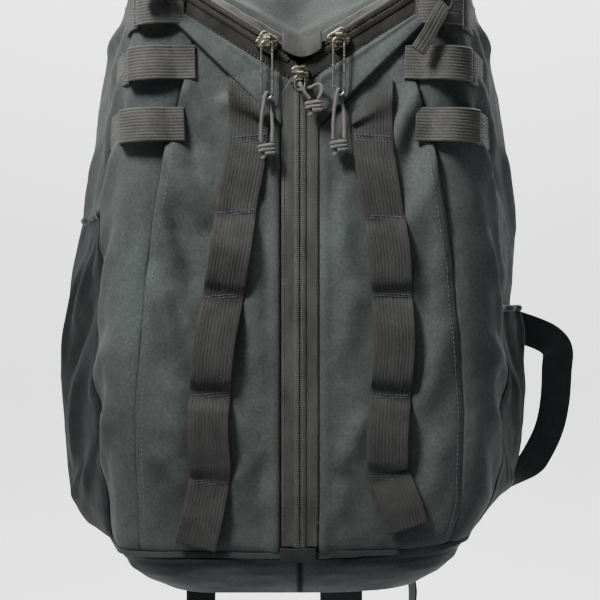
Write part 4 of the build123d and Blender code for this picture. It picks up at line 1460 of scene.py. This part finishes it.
def finish_cad_nodes(mats):
    """The CAD pieces that stay: sliders, wires, buckles, locks and the hidden frame."""
    chosen = {"zip_slider": "slider", "pull_wire": "wire", "sternum_buckle": "buckle",
              "hip_buckle": "buckle", "ladder_locks": "buckle", "cord_toggle": "buckle",
              "frame_sheet": "sheet", "frame_stays": "stay"}
    for name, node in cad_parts.items():
        for start, finish in chosen.items():
            if name.startswith(start):
                node.data.materials.clear()
                node.data.materials.append(mats[finish])


def seam_stitching(mats):
    """Topstitching beside the seams between the front and side panels."""
    for name, side in SIDES:
        z = np.linspace(44, 366, 180)
        s = seam_girth(z) - 5.5
        x, y, nx, ny, relief = half_surface(side, name, s, z, True)
        points = lifted(x, y, z, nx, ny, relief - 0.3)
        normals = stacked(nx, ny, 0 * nx)
        stitch_row(f"seam_stitch_{name}", points, normals, 3.4, 2.4, 0.26, mats["thread"], "pack")


# Studio -----------------------------------------------------------------------------------
def studio_air():
    """Soft light that comes mostly from above."""
    world = bpy.data.worlds.new("studio_air")
    world.use_nodes = True
    air = Tree(world.node_tree)
    split = air.add("ShaderNodeSeparateXYZ")
    air.link(air.add("ShaderNodeTexCoord").outputs["Generated"], split.inputs[0])
    height = air.math("MULTIPLY_ADD", split.outputs["Z"], 0.5, 0.5)
    sky = air.tree.nodes["Background"]
    sky.inputs["Strength"].default_value = 1.0
    color = air.ramp(height, (0.070, 0.073, 0.080), (0.44, 0.455, 0.485), (0.42, 0.75))
    air.link(color, sky.inputs["Color"])
    bpy.context.scene.world = world


def studio_sweep():
    """A pale floor that curves up into a wall behind the bag."""
    pale = Nodes("studio_pale", (0.86, 0.87, 0.86), 0.9)
    stage_mat = pale.finish(pale.bump(pale.noise(0.2, 3.0), 0.001, 0.2))
    reach, wall_y, radius, floor_z, wall_top = 6.0, 3.0, 0.8, -1.35, 6.0
    curve = [(wall_y - radius + radius * math.sin(a), radius - radius * math.cos(a))
             for a in np.linspace(0, math.pi / 2, 16)]
    profile = [(-reach, 0.0), *curve, (wall_y, wall_top)]
    verts = [(x, y, z + floor_z) for y, z in profile for x in (-reach, reach)]
    link_mesh("studio_sweep", verts, grid_faces(len(profile), 2), stage_mat)


def area_light(name, place, size, power, color, target, spread=180):
    light = bpy.data.lights.new(name, "AREA")
    light.shape = "RECTANGLE"
    light.size, light.size_y = size
    light.energy = power
    light.spread = math.radians(spread)
    light.color = color
    lamp = bpy.data.objects.new(name, light)
    lamp.location = place
    lamp.rotation_euler = (Vector(target) - Vector(place)).to_track_quat("-Z", "Y").to_euler()
    bpy.context.scene.collection.objects.link(lamp)


def studio():
    """A close key light at the upper left, soft light above and behind, and a lit wall."""
    studio_air()
    studio_sweep()
    middle = (0, -0.15, -0.3)
    area_light("key", (-0.50, -0.80, 0.56), (0.25, 0.3), 8.5, (1.0, 0.985, 0.96),
               (-0.03, -0.2, -0.13), spread=76)
    area_light("top", (-0.2, -0.75, 1.15), (0.5, 0.4), 12, (0.97, 0.99, 1.0), middle)
    area_light("rear", (0.6, 1.7, 1.1), (1.2, 1.2), 50, (1.0, 1.0, 1.0), middle)
    area_light("wall", (0.0, 1.9, 2.2), (4.0, 0.6), 375, (1, 1, 1), (0, 3.0, -0.3))
    camera_data = bpy.data.cameras.new("camera")
    camera_data.lens = 102.9
    camera_data.sensor_width = 36
    camera = bpy.data.objects.new("camera", camera_data)
    camera.location = P(0, -1360, 220)
    camera.rotation_euler = (math.pi / 2, 0, 0)
    bpy.context.scene.collection.objects.link(camera)
    bpy.context.scene.camera = camera


def main():
    mats = make_materials()
    studio()
    make_pulls(mats)
    for name, side in SIDES:
        front_panel(side, name, mats["cloth"])
        yoke(side, name, mats["cloth"])
        side_panel(side, name, mats["cloth"])
    back_panel(mats["lining"])
    base_panel(mats["base"])
    # The lid and crown strip take the darker crown cloth, which holds painted shade.
    lid(mats["crown"])
    crown_strip(mats["crown"])
    # The pockets' darker cloth holds painted shade.
    rims = {name: pocket(side, name, mats["stretch"], *POCKETS[name]) for name, side in SIDES}
    for name, side in SIDES:
        centre_zip(side, name, mats)
        vee_zip(side, name, mats)
    make_small_front(mats)
    make_daisies(mats)
    make_side_loops(mats)
    make_tether(mats)
    make_toggle_tab(mats)
    make_haul_loop(mats)
    make_back_pad(mats)
    make_straps(mats)
    make_hip_belt(mats)
    make_bindings(mats, rims)
    seam_stitching(mats)
    finish_cad_nodes(mats)


main()
